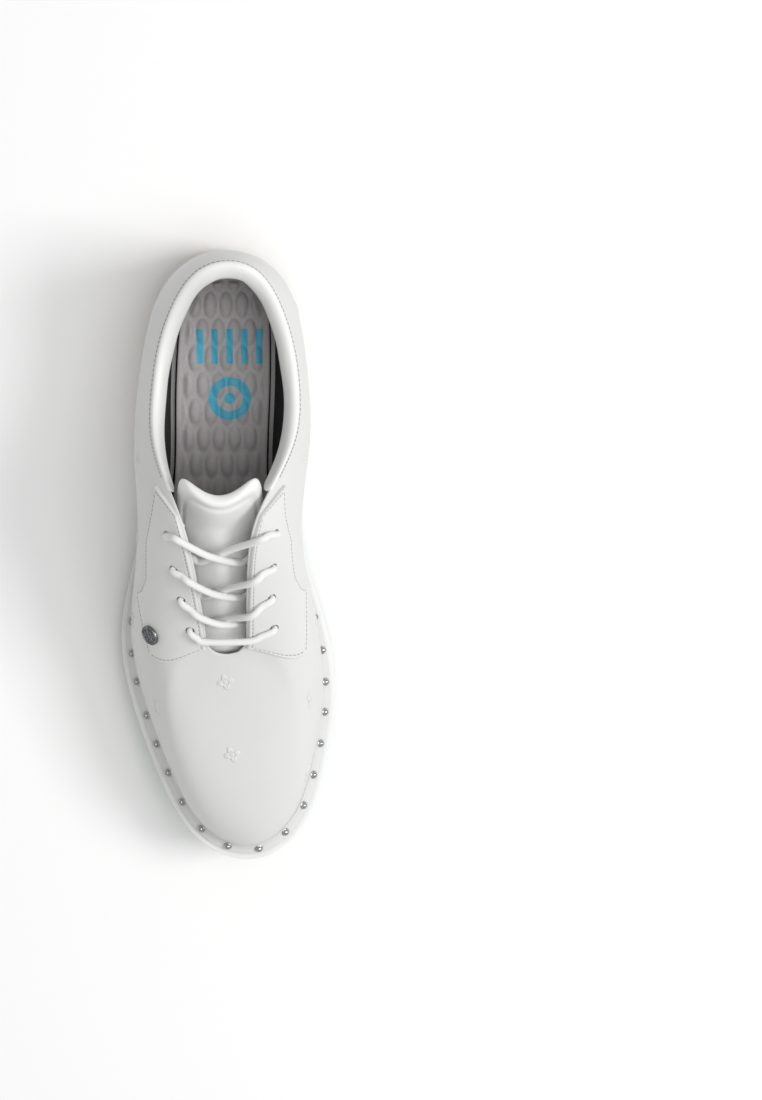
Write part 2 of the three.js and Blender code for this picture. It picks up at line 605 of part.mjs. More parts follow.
function tonguePoint(s, x, off) {
  const t = (s - TONGUE.from) / (TONGUE.to - TONGUE.from);
  const flare = THREE.MathUtils.smoothstep(s, TONGUE.flareFrom, TONGUE.flareTo);
  const root = 1 - THREE.MathUtils.smoothstep(s, TONGUE.from, TONGUE.rootTo);
  const crown = TONGUE_CROWN + TONGUE.lift * flare - TONGUE.dip * root;
  const wrap = (TONGUE.wrapLow + TONGUE.wrapHigh * t + TONGUE.wrapRim * flare) / gradeX ** 3;
  const centre = gradeX * (TONGUE.centreLow + TONGUE.centreHigh * t);
  return instepFoot.clone()
    .addScaledVector(instepAlong, instepScale * s + (TONGUE.lobes / gradeX ** 2) * x * x * flare)
    .addScaledVector(instepOut, crown - wrap * x * x + off)
    .add(new THREE.Vector3(centre + x, 0, 0));
}
function tongueLayer(outer, inner, margin) {
  const lengths = spread(TONGUE.from, TONGUE.to, TONGUE_STEPS);
  const kept = margin > 1 ? lengths.slice(1, -1) : lengths;
  return sweep(kept.map((s) => {
    const t = (s - TONGUE.from) / (TONGUE.to - TONGUE.from);
    const rounding = Math.sqrt(Math.max(0.12, 1 - Math.max(0, (t - 0.93) / 0.075) ** 2));
    const half = (tongueHalf - margin) * (0.82 + 0.18 * t) * rounding;
    const xs = spread(-half, half, TONGUE_COLUMNS);
    const outside = xs.map((x) => tonguePoint(s, x, outer));
    const inside = xs.map((x) => tonguePoint(s, x, inner)).reverse();
    return [...outside, ...inside];
  }), false);
}
const tongueFoamTop = -TONGUE.skin - 2 * OVERLAY_GAP;
const tongueFoamLow = tongueFoamTop - TONGUE.foam;
add('tongue_leather', tongueLayer(0, -TONGUE.skin, 0), 0xeaeae8, 0.5);
add('tongue_foam', tongueLayer(tongueFoamTop, tongueFoamLow, 4), 0xe0d6b8, 0.95);
const tongueLiningTop = tongueFoamLow - 2 * OVERLAY_GAP;
add('tongue_lining', tongueLayer(tongueLiningTop, tongueLiningTop - TONGUE.lining, 0.5), 0x232122, 0.85);

// ---- Lace ----
// Both ends start inside the top eyelets. Each run leaves its eyelet on the outside, crosses
// the gap, dives under the other facing and comes up through the eyelet below; a straight bar
// joins the two bottom eyelets on the outside.
const EYELET_EDGE = [94.5, 104.5, 113.5, 124];   // where each eyelet's run meets the opening edge, degrees
const eyelet = (side, row) => eyelets.find((e) => e.side === side && e.row === row);
const alongEdge = (e, share) => {
  const edge = e.edgeAngle;
  return { angle: e.angle + (edge - e.angle) * share, v: e.v + (1 - e.v) * share };
};
for (const e of eyelets) {
  const gap = EYELET_EDGE[e.row];
  e.edgeAngle = e.side < 0 ? radians(gap) : TURN - radians(gap);
}
const beside = (e, share, off) => {
  const { angle, v } = alongEdge(e, share);
  return upperPoint(angle, v, off);
};
function throughHole(e) {
  return [
    beside(e, 0.22, LACE_OVER), beside(e, 0, LACE_OVER - 0.9), beside(e, -0.02, 0),
    beside(e, 0, LACE_UNDER + 0.9), beside(e, 0.22, LACE_UNDER - 0.2),
  ];
}
const LACE_LIFT = { edge: 1.4, upperStrand: 3, lowerStrand: -0.9 };
function crossing(over, under) {
  const a = beside(over, 1.05, LACE_OVER + LACE_LIFT.edge);
  const b = beside(under, 1.05, LACE_UNDER - 0.3);
  const middle = a.clone().lerp(b, 0.5);
  middle.addScaledVector(instepOut, over.side < 0 ? LACE_LIFT.upperStrand : LACE_LIFT.lowerStrand);
  return [beside(over, 0.55, LACE_OVER), a, middle, b, beside(under, 0.55, LACE_UNDER)];
}
const TUCKED = 1.1;
const half = (side) => {
  const top = eyelet(side, 0);
  const points = [
    beside(top, -TUCKED, LACE_UNDER - 0.3), beside(top, -0.35, LACE_UNDER - 0.3),
    beside(top, 0, LACE_UNDER + 0.9), beside(top, 0, 0),
    beside(top, 0, LACE_OVER - 0.9), beside(top, 0.22, LACE_OVER),
  ];
  for (let row = 0; row < 3; row++) {
    const over = eyelet(row % 2 === 0 ? side : -side, row);
    const under = eyelet(row % 2 === 0 ? -side : side, row + 1);
    points.push(...crossing(over, under), ...throughHole(under).reverse());
  }
  const last = eyelet(-side, 3);
  points.push(beside(last, 0.55, LACE_OVER), beside(last, 1.02, LACE_OVER + 0.5));
  return points;
};
const lacePoints = [...half(-1), ...half(1).reverse()];
function tube(points, radius, sides, stepsPerSpan) {
  const curve = new THREE.CatmullRomCurve3(points, false, 'centripetal');
  const steps = (points.length - 1) * stepsPerSpan;
  const places = spread(0, 1, steps).map((t) => curve.getPoint(t));
  let side = new THREE.Vector3(0, 0, 1);
  return sweep(places.map((place, i) => {
    const along = curve.getTangent(i / steps);
    side = side.clone().addScaledVector(along, -side.dot(along)).normalize();
    const other = along.clone().cross(side);
    return Array.from({ length: sides }, (_, k) => {
      const turn = (TURN * k) / sides;
      return place.clone().addScaledVector(side, radius * Math.cos(turn))
        .addScaledVector(other, radius * Math.sin(turn));
    });
  }), false);
}
// Aglet on each end of the lace, in line with it.
const AGLET = { length: 11, diameter: 3.6 };
for (const side of [-1, 1]) {
  const end = beside(eyelet(side, 0), -TUCKED, LACE_UNDER - 0.3);
  const along = end.clone().sub(beside(eyelet(side, 0), -0.35, LACE_UNDER - 0.3)).normalize();
  const middle = end.clone().addScaledVector(along, GAP + AGLET.length / 2);
  add(`aglet_${side < 0 ? 'lateral' : 'medial'}`,
    placed(cylinder(AGLET.diameter / 2, AGLET.length, 8), middle, along), 0xf4f4f2, 0.4);
}
add('lace', tube(lacePoints, LACE / 2, 8, 1), 0xf2f2f0, 0.85);

// ---- Footbed and shank ----
const footbedInset = BOARD_INSET + FOOTBED_CLEARANCE;
const foamLow = GAP + BOARD + GAP;
const coverLow = foamLow + FOOTBED_FOAM + GAP;
add('footbed_foam', solePlate({
  angles: soleAngles, inset: footbedInset, top: weltTop, topLift: foamLow + FOOTBED_FOAM,
  bottom: weltTop, bottomLift: foamLow, chamfer: 0,
}), 0x6f6b6b, 0.9);
add('footbed_cover', solePlate({
  angles: soleAngles, inset: footbedInset, top: weltTop, topLift: coverLow + FOOTBED_COVER,
  bottom: weltTop, bottomLift: coverLow, chamfer: 0,
}), 0x8e8a8a, 0.8);

// ---- Studs ----
// Round-headed studs on a narrow tape that lies on the sloped strip all round the shoe.
const tapeRing = strip.map(({ foot, top }) => {
  const along = top.clone().sub(foot);
  return { foot: foot.clone().addScaledVector(along, 0.14), top: foot.clone().addScaledVector(along, 0.8) };
});
const stripOut = (i) => {
  const next = strip[(i + 1) % strip.length].foot;
  const last = strip[(i + strip.length - 1) % strip.length].foot;
  const { foot, top } = strip[i];
  return next.clone().sub(last).cross(top.clone().sub(foot)).normalize();
};
const TAPE = 0.5;
const tape = sweep(tapeRing.map(({ foot, top }, i) => {
  const off = (p, distance) => p.clone().addScaledVector(stripOut(i), distance);
  return [off(foot, GAP), off(foot, GAP + TAPE), off(top, GAP + TAPE), off(top, GAP)];
}), true);
const studProfile = [[0, -0.2], [STUD_FLANGE, -0.2], [STUD_FLANGE, 0.5], [0, STUD_DOME + 0.4]];
const studShape = new THREE.LatheGeometry(studProfile.map(([x, y]) => new THREE.Vector2(x, y)), 6);
const studPlaces = tapeRing.map(({ foot, top }, i) =>
  foot.clone().lerp(top, 0.5).addScaledVector(stripOut(i), GAP + TAPE));
const studLine = new THREE.CatmullRomCurve3(studPlaces, true);
const studs = Array.from({ length: STUD_COUNT }, (_, k) => {
  const place = studLine.getPointAt((k + 0.5) / STUD_COUNT);
  const nearest = tapeRing.reduce((best, ring, i) =>
    (ring.foot.distanceTo(place) < tapeRing[best].foot.distanceTo(place) ? i : best), 0);
  return placed(studShape, place, stripOut(nearest));
});
add('welt_studs', joined([tape, ...studs]), STEEL, 0.3, 1);

export default shoe;
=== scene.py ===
# Right golf shoe: the looks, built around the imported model. Metres; toe towards -Y.
import math

import bpy
import numpy as np
from mathutils import Matrix, Vector


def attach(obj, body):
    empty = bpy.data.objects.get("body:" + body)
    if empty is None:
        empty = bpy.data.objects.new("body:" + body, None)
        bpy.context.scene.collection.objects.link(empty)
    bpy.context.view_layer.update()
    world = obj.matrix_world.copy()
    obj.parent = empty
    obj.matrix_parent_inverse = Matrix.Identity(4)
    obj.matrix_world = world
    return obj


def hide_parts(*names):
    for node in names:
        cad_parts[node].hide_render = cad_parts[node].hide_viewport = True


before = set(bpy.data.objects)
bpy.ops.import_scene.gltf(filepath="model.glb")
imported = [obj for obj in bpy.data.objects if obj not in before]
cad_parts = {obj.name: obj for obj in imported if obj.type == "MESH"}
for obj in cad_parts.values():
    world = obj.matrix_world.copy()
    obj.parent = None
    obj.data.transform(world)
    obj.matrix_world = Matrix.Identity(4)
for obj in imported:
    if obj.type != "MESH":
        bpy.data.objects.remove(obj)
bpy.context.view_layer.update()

# ---------------------------------------------------------------- studio
# A white sweep under a soft overhead box, with a stronger box on the inner side of the shoe,
# so that the outer side falls into soft grey.


def linear(hex_colour):
    """Linear RGBA of an sRGB hex colour: the sRGB curve undone channel by channel."""
    srgb = [int(hex_colour[i:i + 2], 16) / 255 for i in (1, 3, 5)]
    return [c / 12.92 if c <= 0.04045 else ((c + 0.055) / 1.055) ** 2.4 for c in srgb] + [1.0]


def add_node(tree, kind, settings=None, links=None):
    """Adds a shader node; settings are its properties or input values, links feed its inputs."""
    made = tree.nodes.new("ShaderNode" + kind)
    for key, value in (settings or {}).items():
        if isinstance(key, str) and hasattr(made, key):
            setattr(made, key, value)
        else:
            made.inputs[key].default_value = value
    for key, source in (links or {}).items():
        tree.links.new(source, made.inputs[key])
    return made


def new_material(name, colour, roughness, sockets=None):
    """A Principled material with uniform values on its own sockets, its tree and its shader."""
    made = bpy.data.materials.new(name)
    made.use_nodes = True
    shader = made.node_tree.nodes["Principled BSDF"]
    shader.inputs["Base Color"].default_value = linear(colour)
    shader.inputs["Roughness"].default_value = roughness
    for key, value in (sockets or {}).items():
        shader.inputs[key].default_value = value
    return made, made.node_tree, shader


CAMERA_PLACE = (-0.008, 0.150, 1.30)
CAMERA_AIM = (0.0766, 0.0010, 0.02)
FRAME_WIDTH = 0.381            # metres across the picture at the height of the welt
FRAME_SHAPE = 1100 / 762
SENSOR = 36.0                  # millimetres

camera_data = bpy.data.cameras.new("camera")
camera = bpy.data.objects.new("camera", camera_data)
bpy.context.scene.collection.objects.link(camera)
bpy.context.scene.camera = camera
camera.location = CAMERA_PLACE
aim = np.array(CAMERA_AIM) - np.array(CAMERA_PLACE)
distance = float(np.linalg.norm(aim))
camera_data.sensor_fit = "VERTICAL"
camera_data.sensor_height = SENSOR
camera_data.lens = SENSOR * distance / (FRAME_WIDTH * FRAME_SHAPE)
camera_data.clip_start = 0.05
back = -aim / distance
right = np.cross((0.0, 1.0, 0.0), back)
right /= np.linalg.norm(right)
up = np.cross(back, right)
camera.rotation_euler = Matrix(np.array([right, up, back]).T.tolist()).to_euler()


def area_light(name, place, aim_at, size, power):
    """A square white soft box at a place, turned towards a point."""
    data = bpy.data.lights.new(name, "AREA")
    data.size = size
    data.energy = power
    lamp = bpy.data.objects.new(name, data)
    lamp.location = place
    lamp.rotation_euler = (Vector(aim_at) - Vector(place)).to_track_quat("-Z", "Y").to_euler()
    bpy.context.scene.collection.objects.link(lamp)


area_light("key", (1.3, 0.1, 1.6), (0.05, 0, 0.03), 0.7, 18)
area_light("top", (0.4, 0.0, 2.2), (0.05, 0, 0), 1.2, 15)

WORLD_STRENGTH = 0.45
bpy.context.scene.view_settings.view_transform = "Standard"
world = bpy.data.worlds.new("studio")
bpy.context.scene.world = world
world.use_nodes = True
background = world.node_tree.nodes["Background"]
background.inputs["Color"].default_value = (1.0, 1.0, 1.0, 1.0)
background.inputs["Strength"].default_value = WORLD_STRENGTH

floor_mesh = bpy.data.meshes.new("floor")
FLOOR_HALF = 6.0
floor_mesh.from_pydata([(-FLOOR_HALF, -FLOOR_HALF, 0), (FLOOR_HALF, -FLOOR_HALF, 0),
                        (FLOOR_HALF, FLOOR_HALF, 0), (-FLOOR_HALF, FLOOR_HALF, 0)], [], [(0, 1, 2, 3)])
floor = bpy.data.objects.new("floor", floor_mesh)
bpy.context.scene.collection.objects.link(floor)
floor_mesh.materials.append(new_material("white_paper_sweep", "#FCFCFC", 0.9)[0])

# ---------------------------------------------------------------- welt
# The white band that runs all round the shoe between the upper and the outsole. Moulded
# rubber, smooth and satin, with softly rounded edges and a fine seam line under its top edge.
# Everything below the upper is drawn round one angle: 0 at the heel, a quarter turn on the
# outer side, a half turn at the toe. Sizes are in millimetres and turned to metres at the end.

LENGTH = 300
MM = 0.001
TURN = 2 * math.pi
GAP = 0.35
WELT_X = [0, -18.5, -32, -36.5, -38, -39, -45.5, -53, -47.5, -36.5, -24.5, -9,
          9.5, 25.5, 39.5, 48, 53, 49.5, 38, 33, 34, 34.5, 31.5, 18.5]
WELT_TOP_Z = [31.5, 31.4, 31, 29.9, 27.8, 24, 19.8, 19.7, 23.8, 30.3, 37, 42.4, 44]
WELT_BOTTOM_Z = [24, 24, 23.6, 23, 21, 17.2, 12.6, 12.1, 17, 22.7, 29.3, 34.8, 36.5]
SOLE_BOTTOM_Z = [15, 15, 15, 14.8, 13.6, 11.6, 7.5, 7.2, 10, 16.6, 23, 29, 31]


def closed_spline(values):
    """Periodic cubic B-spline through evenly spaced values, as a function of the angle."""
    values = np.asarray(values, float)
    n = len(values)
    weights = (4 * np.eye(n) + np.roll(np.eye(n), 1, 0) + np.roll(np.eye(n), -1, 0)) / 6
    knots = np.linalg.solve(weights, values)

    def at(angle):
        t = np.asarray(angle, float) / TURN * n
        i = np.floor(t).astype(int)
        f = t - i
        a, b, c, d = (knots[(i + k) % n] for k in (-1, 0, 1, 2))
        return ((1 - f) ** 3 * a + (3 * f ** 3 - 6 * f ** 2 + 4) * b
                + (-3 * f ** 3 + 3 * f ** 2 + 3 * f + 1) * c + f ** 3 * d) / 6
    return at


def angle_at(y):
    """Angle of a station y along the shoe, on the outer side: the arc cosine of 2y / LENGTH."""
    return np.arccos(np.asarray(y, float) / (LENGTH / 2))


def height_line(values):
    """A height that depends on y alone: the spline of its stations, mirrored at heel and toe."""
    spline = closed_spline(values + values[-2:0:-1])
    return lambda y: spline(angle_at(np.clip(y, -LENGTH / 2, LENGTH / 2)))


def smooth(x, low, high):
    """0 below low, 1 above high, and 3t^2 - 2t^3 between."""
    t = np.clip((np.asarray(x, float) - low) / (high - low), 0, 1)
    return t * t * (3 - 2 * t)


welt_x = closed_spline(WELT_X)
welt_top = height_line(WELT_TOP_Z)
welt_bottom = height_line(WELT_BOTTOM_Z)
sole_bottom = height_line(SOLE_BOTTOM_Z)


def welt_edge(angle):
    """Edge of the welt in plan: x from its spline, y = half the length times the cosine."""
    return np.stack([welt_x(angle), LENGTH / 2 * np.cos(angle), 0 * angle], -1)


def outward(angle):
    """Unit vector in plan, square to the edge of the welt and away from the shoe."""
    along = welt_edge(angle + 0.004) - welt_edge(angle - 0.004)
    along /= np.linalg.norm(along, axis=-1, keepdims=True)
    return np.stack([along[..., 1], -along[..., 0], 0 * along[..., 0]], -1)


def sole_point(angle, inset, line, lift=0.0):
    """A point an inset in from the edge of the welt, at a height line plus a lift."""
    angle, inset, lift = np.broadcast_arrays(np.asarray(angle, float), inset, lift)
    p = welt_edge(angle) - outward(angle) * inset[..., None]
    p[..., 2] = line(p[..., 1]) + lift
    return p


def put_mesh(name, points, faces, finish, sharp=35.0, uv=None):
    """Makes an object from points in millimetres and quads or triangles, faces turned outwards."""
    points = np.asarray(points, float).reshape(-1, 3) * MM
    faces = np.asarray(faces, int)
    corners = points[faces]
    turned = np.cross(corners[:, 1] - corners[:, 0], corners[:, 2] - corners[:, 0])
    volume = np.einsum("ij,ij->", corners[:, 0], turned)
    if faces.shape[1] == 4:
        turned = np.cross(corners[:, 2] - corners[:, 0], corners[:, 3] - corners[:, 0])
        volume += np.einsum("ij,ij->", corners[:, 0], turned)
    if volume < 0:
        faces = faces[:, ::-1]
    mesh = bpy.data.meshes.new(name)
    mesh.from_pydata(points.tolist(), [], faces.tolist())
    if uv is not None:
        layer = mesh.uv_layers.new(name="UVMap")
        loops = np.empty(len(mesh.loops), int)
        mesh.loops.foreach_get("vertex_index", loops)
        layer.data.foreach_set("uv", np.asarray(uv, float).reshape(-1, 2)[loops].ravel())
    mesh.polygons.foreach_set("use_smooth", np.ones(len(mesh.polygons), bool))
    mesh.set_sharp_from_angle(angle=math.radians(sharp))
    mesh.materials.append(finish)
    made = bpy.data.objects.new(name, mesh)
    bpy.context.scene.collection.objects.link(made)
    return made


def swept_faces(rings, count, closed):
    """Quads between neighbouring rings of points, and strips across the two end rings."""
    i, j = np.meshgrid(np.arange(rings if closed else rings - 1), np.arange(count), indexing="ij")
    here, there = i * count, (i + 1) % rings * count
    after = (j + 1) % count
    sides = np.stack([here + j, there + j, there + after, here + after], -1).reshape(-1, 4)
    if closed:
        return sides
    k = np.arange(count // 2 - 1)
    cap = np.stack([k, k + 1, count - 2 - k, count - 1 - k], -1)
    return np.concatenate([sides, cap, (cap + (rings - 1) * count)[:, ::-1]])


def sweep(name, rings, closed, finish, sharp=35.0, uv=None):
    """A closed solid through rings of points, an array (ring, point, 3) in millimetres."""
    rings = np.asarray(rings, float)
    return put_mesh(name, rings, swept_faces(rings.shape[0], rings.shape[1], closed), finish, sharp, uv)


def rounded_profile(corners, radius, steps=5):
    """A closed outline in 2-D with each corner replaced by an arc-like quadratic curve."""
    corners = np.asarray(corners, float)
    out = []
    for k, corner in enumerate(corners):
        before, after = corners[k - 1] - corner, corners[(k + 1) % len(corners)] - corner
        reach = min(radius, 0.45 * np.linalg.norm(before), 0.45 * np.linalg.norm(after))
        a = corner + before / np.linalg.norm(before) * reach
        b = corner + after / np.linalg.norm(after) * reach
        for t in np.linspace(0, 1, steps):
            out.append((1 - t) ** 2 * a + 2 * t * (1 - t) * corner + t * t * b)
    return np.array(out)


WELT_WIDTH = 13
WELT_DEPTH = 7.0
WELT_EDGE = 0.7                # radius of the rounded edges
SEAM_AT = 1.5                  # middle of the seam groove, below the top edge
SEAM_HALF = 0.25
SEAM_DEPTH = 0.35
ROUND_STEPS = 360
round_angles = np.arange(ROUND_STEPS) * TURN / ROUND_STEPS

def object_place(tree):
    """The socket with the place of a point in the piece's own axes, in metres."""
    return add_node(tree, "TexCoord").outputs["Object"]


def noise(tree, place, scale, detail):
    """Fractal noise between 0 and 1, at a scale per metre."""
    made = add_node(tree, "TexNoise", {"Scale": scale, "Detail": detail}, {"Vector": place})
    return made.outputs["Fac"]


def toned(tree, shader, share, colour, shade):
    """Base colour (1 - share) * colour + share * shade, with share a socket."""
    mixed = add_node(tree, "Mix", {"data_type": "RGBA", 6: linear(colour), 7: linear(shade)},
                     {0: share})
    tree.links.new(mixed.outputs[2], shader.inputs["Base Color"])


def relief(tree, shader, height, strength, depth):
    """Tilts the shader's normal by the slope of a height socket, at a depth in metres."""
    bump = add_node(tree, "Bump", {"Strength": strength, "Distance": depth}, {"Height": height})
    tree.links.new(bump.outputs["Normal"], shader.inputs["Normal"])


welt_rubber, tree, shader = new_material("moulded_white_rubber", "#E8E8E7", 0.42,
                                         {"Specular IOR Level": 0.45})
place = object_place(tree)
toned(tree, shader, noise(tree, place, 60.0, 3.0), "#EAEAE9", "#E1E2E1")
relief(tree, shader, noise(tree, place, 1400.0, 2.0), 0.25, 0.00004)


def welt_ring(angle):
    """Rings of the welt: its rounded outline (inset, depth) with a groove near the top, each depth
    taken as a share of the way from the top height line to the bottom one."""
    floor_depth = WELT_DEPTH - GAP
    section = rounded_profile([
        (WELT_WIDTH, 0.0), (0.0, 0.0), (0.0, -SEAM_AT + SEAM_HALF), (SEAM_DEPTH, -SEAM_AT),
        (0.0, -SEAM_AT - SEAM_HALF), (0.0, -floor_depth), (WELT_WIDTH, -floor_depth)], WELT_EDGE)
    inset = section[:, 0]
    share = np.clip(-section[:, 1] / floor_depth, 0, 1)
    foot = sole_point(angle[:, None], inset[None], welt_top)
    base = sole_point(angle[:, None], inset[None], welt_bottom, GAP)
    return foot * (1 - share)[None, :, None] + base * share[None, :, None]


welt = sweep("welt_band", welt_ring(round_angles), True, welt_rubber)
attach(welt, "shoe")
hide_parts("welt")

# ---------------------------------------------------------------- outsole
# One beige rubber moulding: a thin sole under the ball and arch, and a heel block behind it.
# Matt, with the faint mottle of a pressed rubber, and rounded lower edges.

HEEL_BREAST = 59
HEEL_BOTTOM = 6.4
BREAST_SLOPE = 1.6
BREAST_REACH = 1.4             # fine steps this far either side of the heel's front face
SOLE_DEPTH = 8.0
SOLE_EDGES = (0.35, 1.6)       # radii of the outsole's upper and lower edges

outsole_rubber, tree, shader = new_material("moulded_beige_rubber", "#CDBDA6", 0.55,
                                            {"Specular IOR Level": 0.4})
place = object_place(tree)
toned(tree, shader, noise(tree, place, 90.0, 4.0), "#D2C1A9", "#C4B298")
relief(tree, shader, noise(tree, place, 1100.0, 3.0), 0.35, 0.00006)


def under_sole(y):
    """Underside of the outsole: the heel block's flat face, then the sole's own curve in front."""
    back = smooth(y, HEEL_BREAST - BREAST_SLOPE / 2, HEEL_BREAST + BREAST_SLOPE / 2)
    return HEEL_BOTTOM * back + sole_bottom(y) * (1 - back)


def sole_plate(name, angles, section, top, bottom, finish):
    """A plate across the shoe: the outer edge follows a half section given as (inset, share, lift)
    from the middle of the top face to the middle of the underside, mirrored to the other side."""
    inset, share, lift = np.asarray(section, float).T
    halves = []
    for side in (angles, TURN - angles):
        high = sole_point(side[:, None], inset[None], top)
        low = sole_point(side[:, None], inset[None], bottom)
        mixed = high * (1 - share)[None, :, None] + low * share[None, :, None]
        mixed[..., 2] += lift
        halves.append(mixed)
    return sweep(name, np.concatenate([halves[0], halves[1][:, ::-1]], 1), False, finish)


def edge_section(radius_top, radius_low, height, lift_top=0.0, lift_low=0.0, across=(16, 8)):
    """Half section (inset, share, lift) whose two outer corners are quarter circles."""
    points = [(across[0], 0.0, lift_top), (across[1], 0.0, lift_top)]
    for t in np.linspace(0, math.pi / 2, 6):
        points.append((radius_top * (1 - math.sin(t)), radius_top * (1 - math.cos(t)) / height, lift_top))
    for t in np.linspace(0, math.pi / 2, 7):
        points.append((radius_low * (1 - math.cos(t)), 1 - radius_low * (1 - math.sin(t)) / height,
                       lift_low))
    return points + [(across[1], 1.0, lift_low), (across[0], 1.0, lift_low)]


half_angles = np.linspace(0.012, math.pi - 0.012, 220)
breast = angle_at(np.linspace(HEEL_BREAST + BREAST_REACH, HEEL_BREAST - BREAST_REACH, 11))
outsole_angles = np.sort(np.concatenate([half_angles, breast]))
outsole = sole_plate("outsole_and_heel", outsole_angles, edge_section(*SOLE_EDGES, SOLE_DEPTH),
                     welt_bottom, under_sole, outsole_rubber)
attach(outsole, "shoe")
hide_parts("outsole")

# ---------------------------------------------------------------- lugs
# Two thin plates let into the underside, each carrying blunt, rounded teeth along both edges:
# pale mint under the ball and toe, milky cream under the heel. Both are slightly clear, glossy
# thermoplastic, so light gets a little way into the tips.

PLATE = 1.6
PLATE_EDGES = (0.4, 0.9)       # radii of a plate's upper and lower edges
LUG_HEIGHT = 7.2
LUG_RADIUS = 4.3
LUG_STRETCH = (1.16, 0.92)     # along and across the shoe
LUG_ROWS = {                   # stations along the shoe, and how far in from the welt's edge
    "forefoot": [([44, 24, 4, -14, -32, -50, -70, -90, -108, -124], 12.5),
                 ([14, -6, -24, -42, -62, -82], 28), ([-102], 26)],
    "heel": [([134, 118, 100, 84, 70], 12)]}


def clear_plastic(name, colour, deep):
    """A milky, slightly clear moulding: some transmission, and colour that deepens with noise."""
    made, tree, shader = new_material(name, colour, 0.22, {
        "Transmission Weight": 0.18, "IOR": 1.46, "Subsurface Weight": 0.25, "Subsurface Scale": 0.004})
    cloud = noise(tree, object_place(tree), 120.0, 3.0)
    toned(tree, shader, cloud, colour, deep)
    relief(tree, shader, cloud, 0.3, 0.00008)
    return made


mint_plastic = clear_plastic("mint_thermoplastic", "#D3E6DC", "#B7D6C8")
cream_plastic = clear_plastic("milky_thermoplastic", "#E4E2D6", "#D0CCBA")


def islands(name, templates, finish, sharp=50.0):
    """One mesh from many closed sweeps of the same shape, an array (island, ring, point, 3)."""
    count, rings, sides = templates.shape[:3]
    faces = swept_faces(rings, sides, False)
    every = (faces[None] + (np.arange(count) * rings * sides)[:, None, None]).reshape(-1, 4)
    return put_mesh(name, templates, every, finish, sharp)


def lug_teeth(name, rows, under, finish):
    """Blunt teeth on both edges of a plate: tooth k has the oval plan
    R(0.94 + 0.07 cos(3t + 2.1k)), scaled along a profile of (radius, drop) down to its tip."""
    angle = angle_at(np.concatenate([ys for ys, _ in rows]))
    insets = np.concatenate([np.full(len(ys), float(inset)) for ys, inset in rows])
    angle = np.concatenate([angle, TURN - angle])
    insets = np.concatenate([insets, insets])
    foot = sole_point(angle, insets, under, -GAP - PLATE / 2)
    tall = foot[:, 2] - np.maximum(0, under(foot[:, 1]) - LUG_HEIGHT)
    radius = np.array([1.18, 1.06, 0.98, 0.92, 0.86, 0.77, 0.62, 0.40, 0.12])
    drop = np.array([0.0, 0.10, 0.26, 0.50, 0.72, 0.86, 0.95, 0.99, 1.0])
    turn = np.arange(22) * TURN / 22
    plan = LUG_RADIUS * (0.94 + 0.07 * np.cos(3 * turn[None] + np.arange(len(angle))[:, None] * 2.1))
    along = np.stack([outward(angle)[:, 1], -outward(angle)[:, 0], 0 * angle], -1)
    across = outward(angle)
    a = (plan * np.cos(turn))[:, None] * radius[None, :, None] * LUG_STRETCH[0]
    b = (plan * np.sin(turn))[:, None] * radius[None, :, None] * LUG_STRETCH[1]
    rings = (foot[:, None, None] + a[..., None] * along[:, None, None]
             + b[..., None] * across[:, None, None])
    rings[..., 2] -= drop[None, :, None] * tall[:, None, None]
    return islands(name, rings, finish)


def heel_height(y):
    """The flat underside of the heel block: one height for every y."""
    return HEEL_BOTTOM + 0 * y


plate_section = edge_section(*PLATE_EDGES, 2.0, -GAP, -GAP - PLATE)
mint_plate = sole_plate("forefoot_lug_plate", np.linspace(angle_at(50), angle_at(-141), 120),
                        plate_section, sole_bottom, sole_bottom, mint_plastic)
mint_teeth = lug_teeth("forefoot_teeth", LUG_ROWS["forefoot"], sole_bottom, mint_plastic)
heel_plate = sole_plate("heel_lug_plate", np.linspace(angle_at(143), angle_at(62), 60),
                        plate_section, heel_height, heel_height, cream_plastic)
heel_teeth = lug_teeth("heel_teeth", LUG_ROWS["heel"], heel_height, cream_plastic)
for pieces, node, slot_name in (((mint_plate, mint_teeth), "forefoot_lugs", "mint_tpu"),
                                ((heel_plate, heel_teeth), "heel_lugs", "clear_tpu")):
    for piece in pieces:
        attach(piece, "shoe")
        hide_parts(node)

# ---------------------------------------------------------------- upper
# The smooth white leather that wraps the foot, a shell whose wall at every angle is one Bezier
# curve from the welt up to the opening edge. Fine pore grain, a soft satin finish and very
# slight waviness; the eyelet holes are punched through it.

FEATHER_INSET = 7.2
LEATHER = 1.4
OPENING = [
    [0, 144.5, 108.5], [-14.5, 139, 106], [-25, 123.5, 96.5], [-31.5, 104.5, 89],
    [-34.5, 84, 88.5], [-33.5, 59, 101], [-23, 30, 127], [-16, 0, 111.5],
    [-12, -27, 91.5], [-10.8, -36, 85], [-8, -40, 82.3], [-4.8, -41.5, 81.5],
    [-1.2, -42, 81.3], [2.4, -41.5, 81.5], [5.6, -40, 82.3], [8.4, -36, 85],
    [8.8, -27, 91.5], [9.2, 0, 111.5], [14, 30, 128], [29, 59, 103],
    [33, 84, 92], [30.5, 105, 92.5], [24.5, 124, 99], [14.5, 139.5, 107.5]]
FOOT_OUT = [9.5, 11, 14, 10, 2.5, 0.5, 1, 0.5, 3, 12, 15, 11]
FOOT_UP = [26, 26, 24, 32, 30, 30, 34, 30, 30, 30, 24, 26]
EDGE_OUT = [7, 9, 13, 22, 28, 38, 44, 38, 28, 20, 10, 8]
EDGE_DOWN = [23, 22, 22, 16, 9, 14, 18, 14, 9, 16, 22, 22]
opening = [closed_spline([station[k] for station in OPENING]) for k in range(3)]
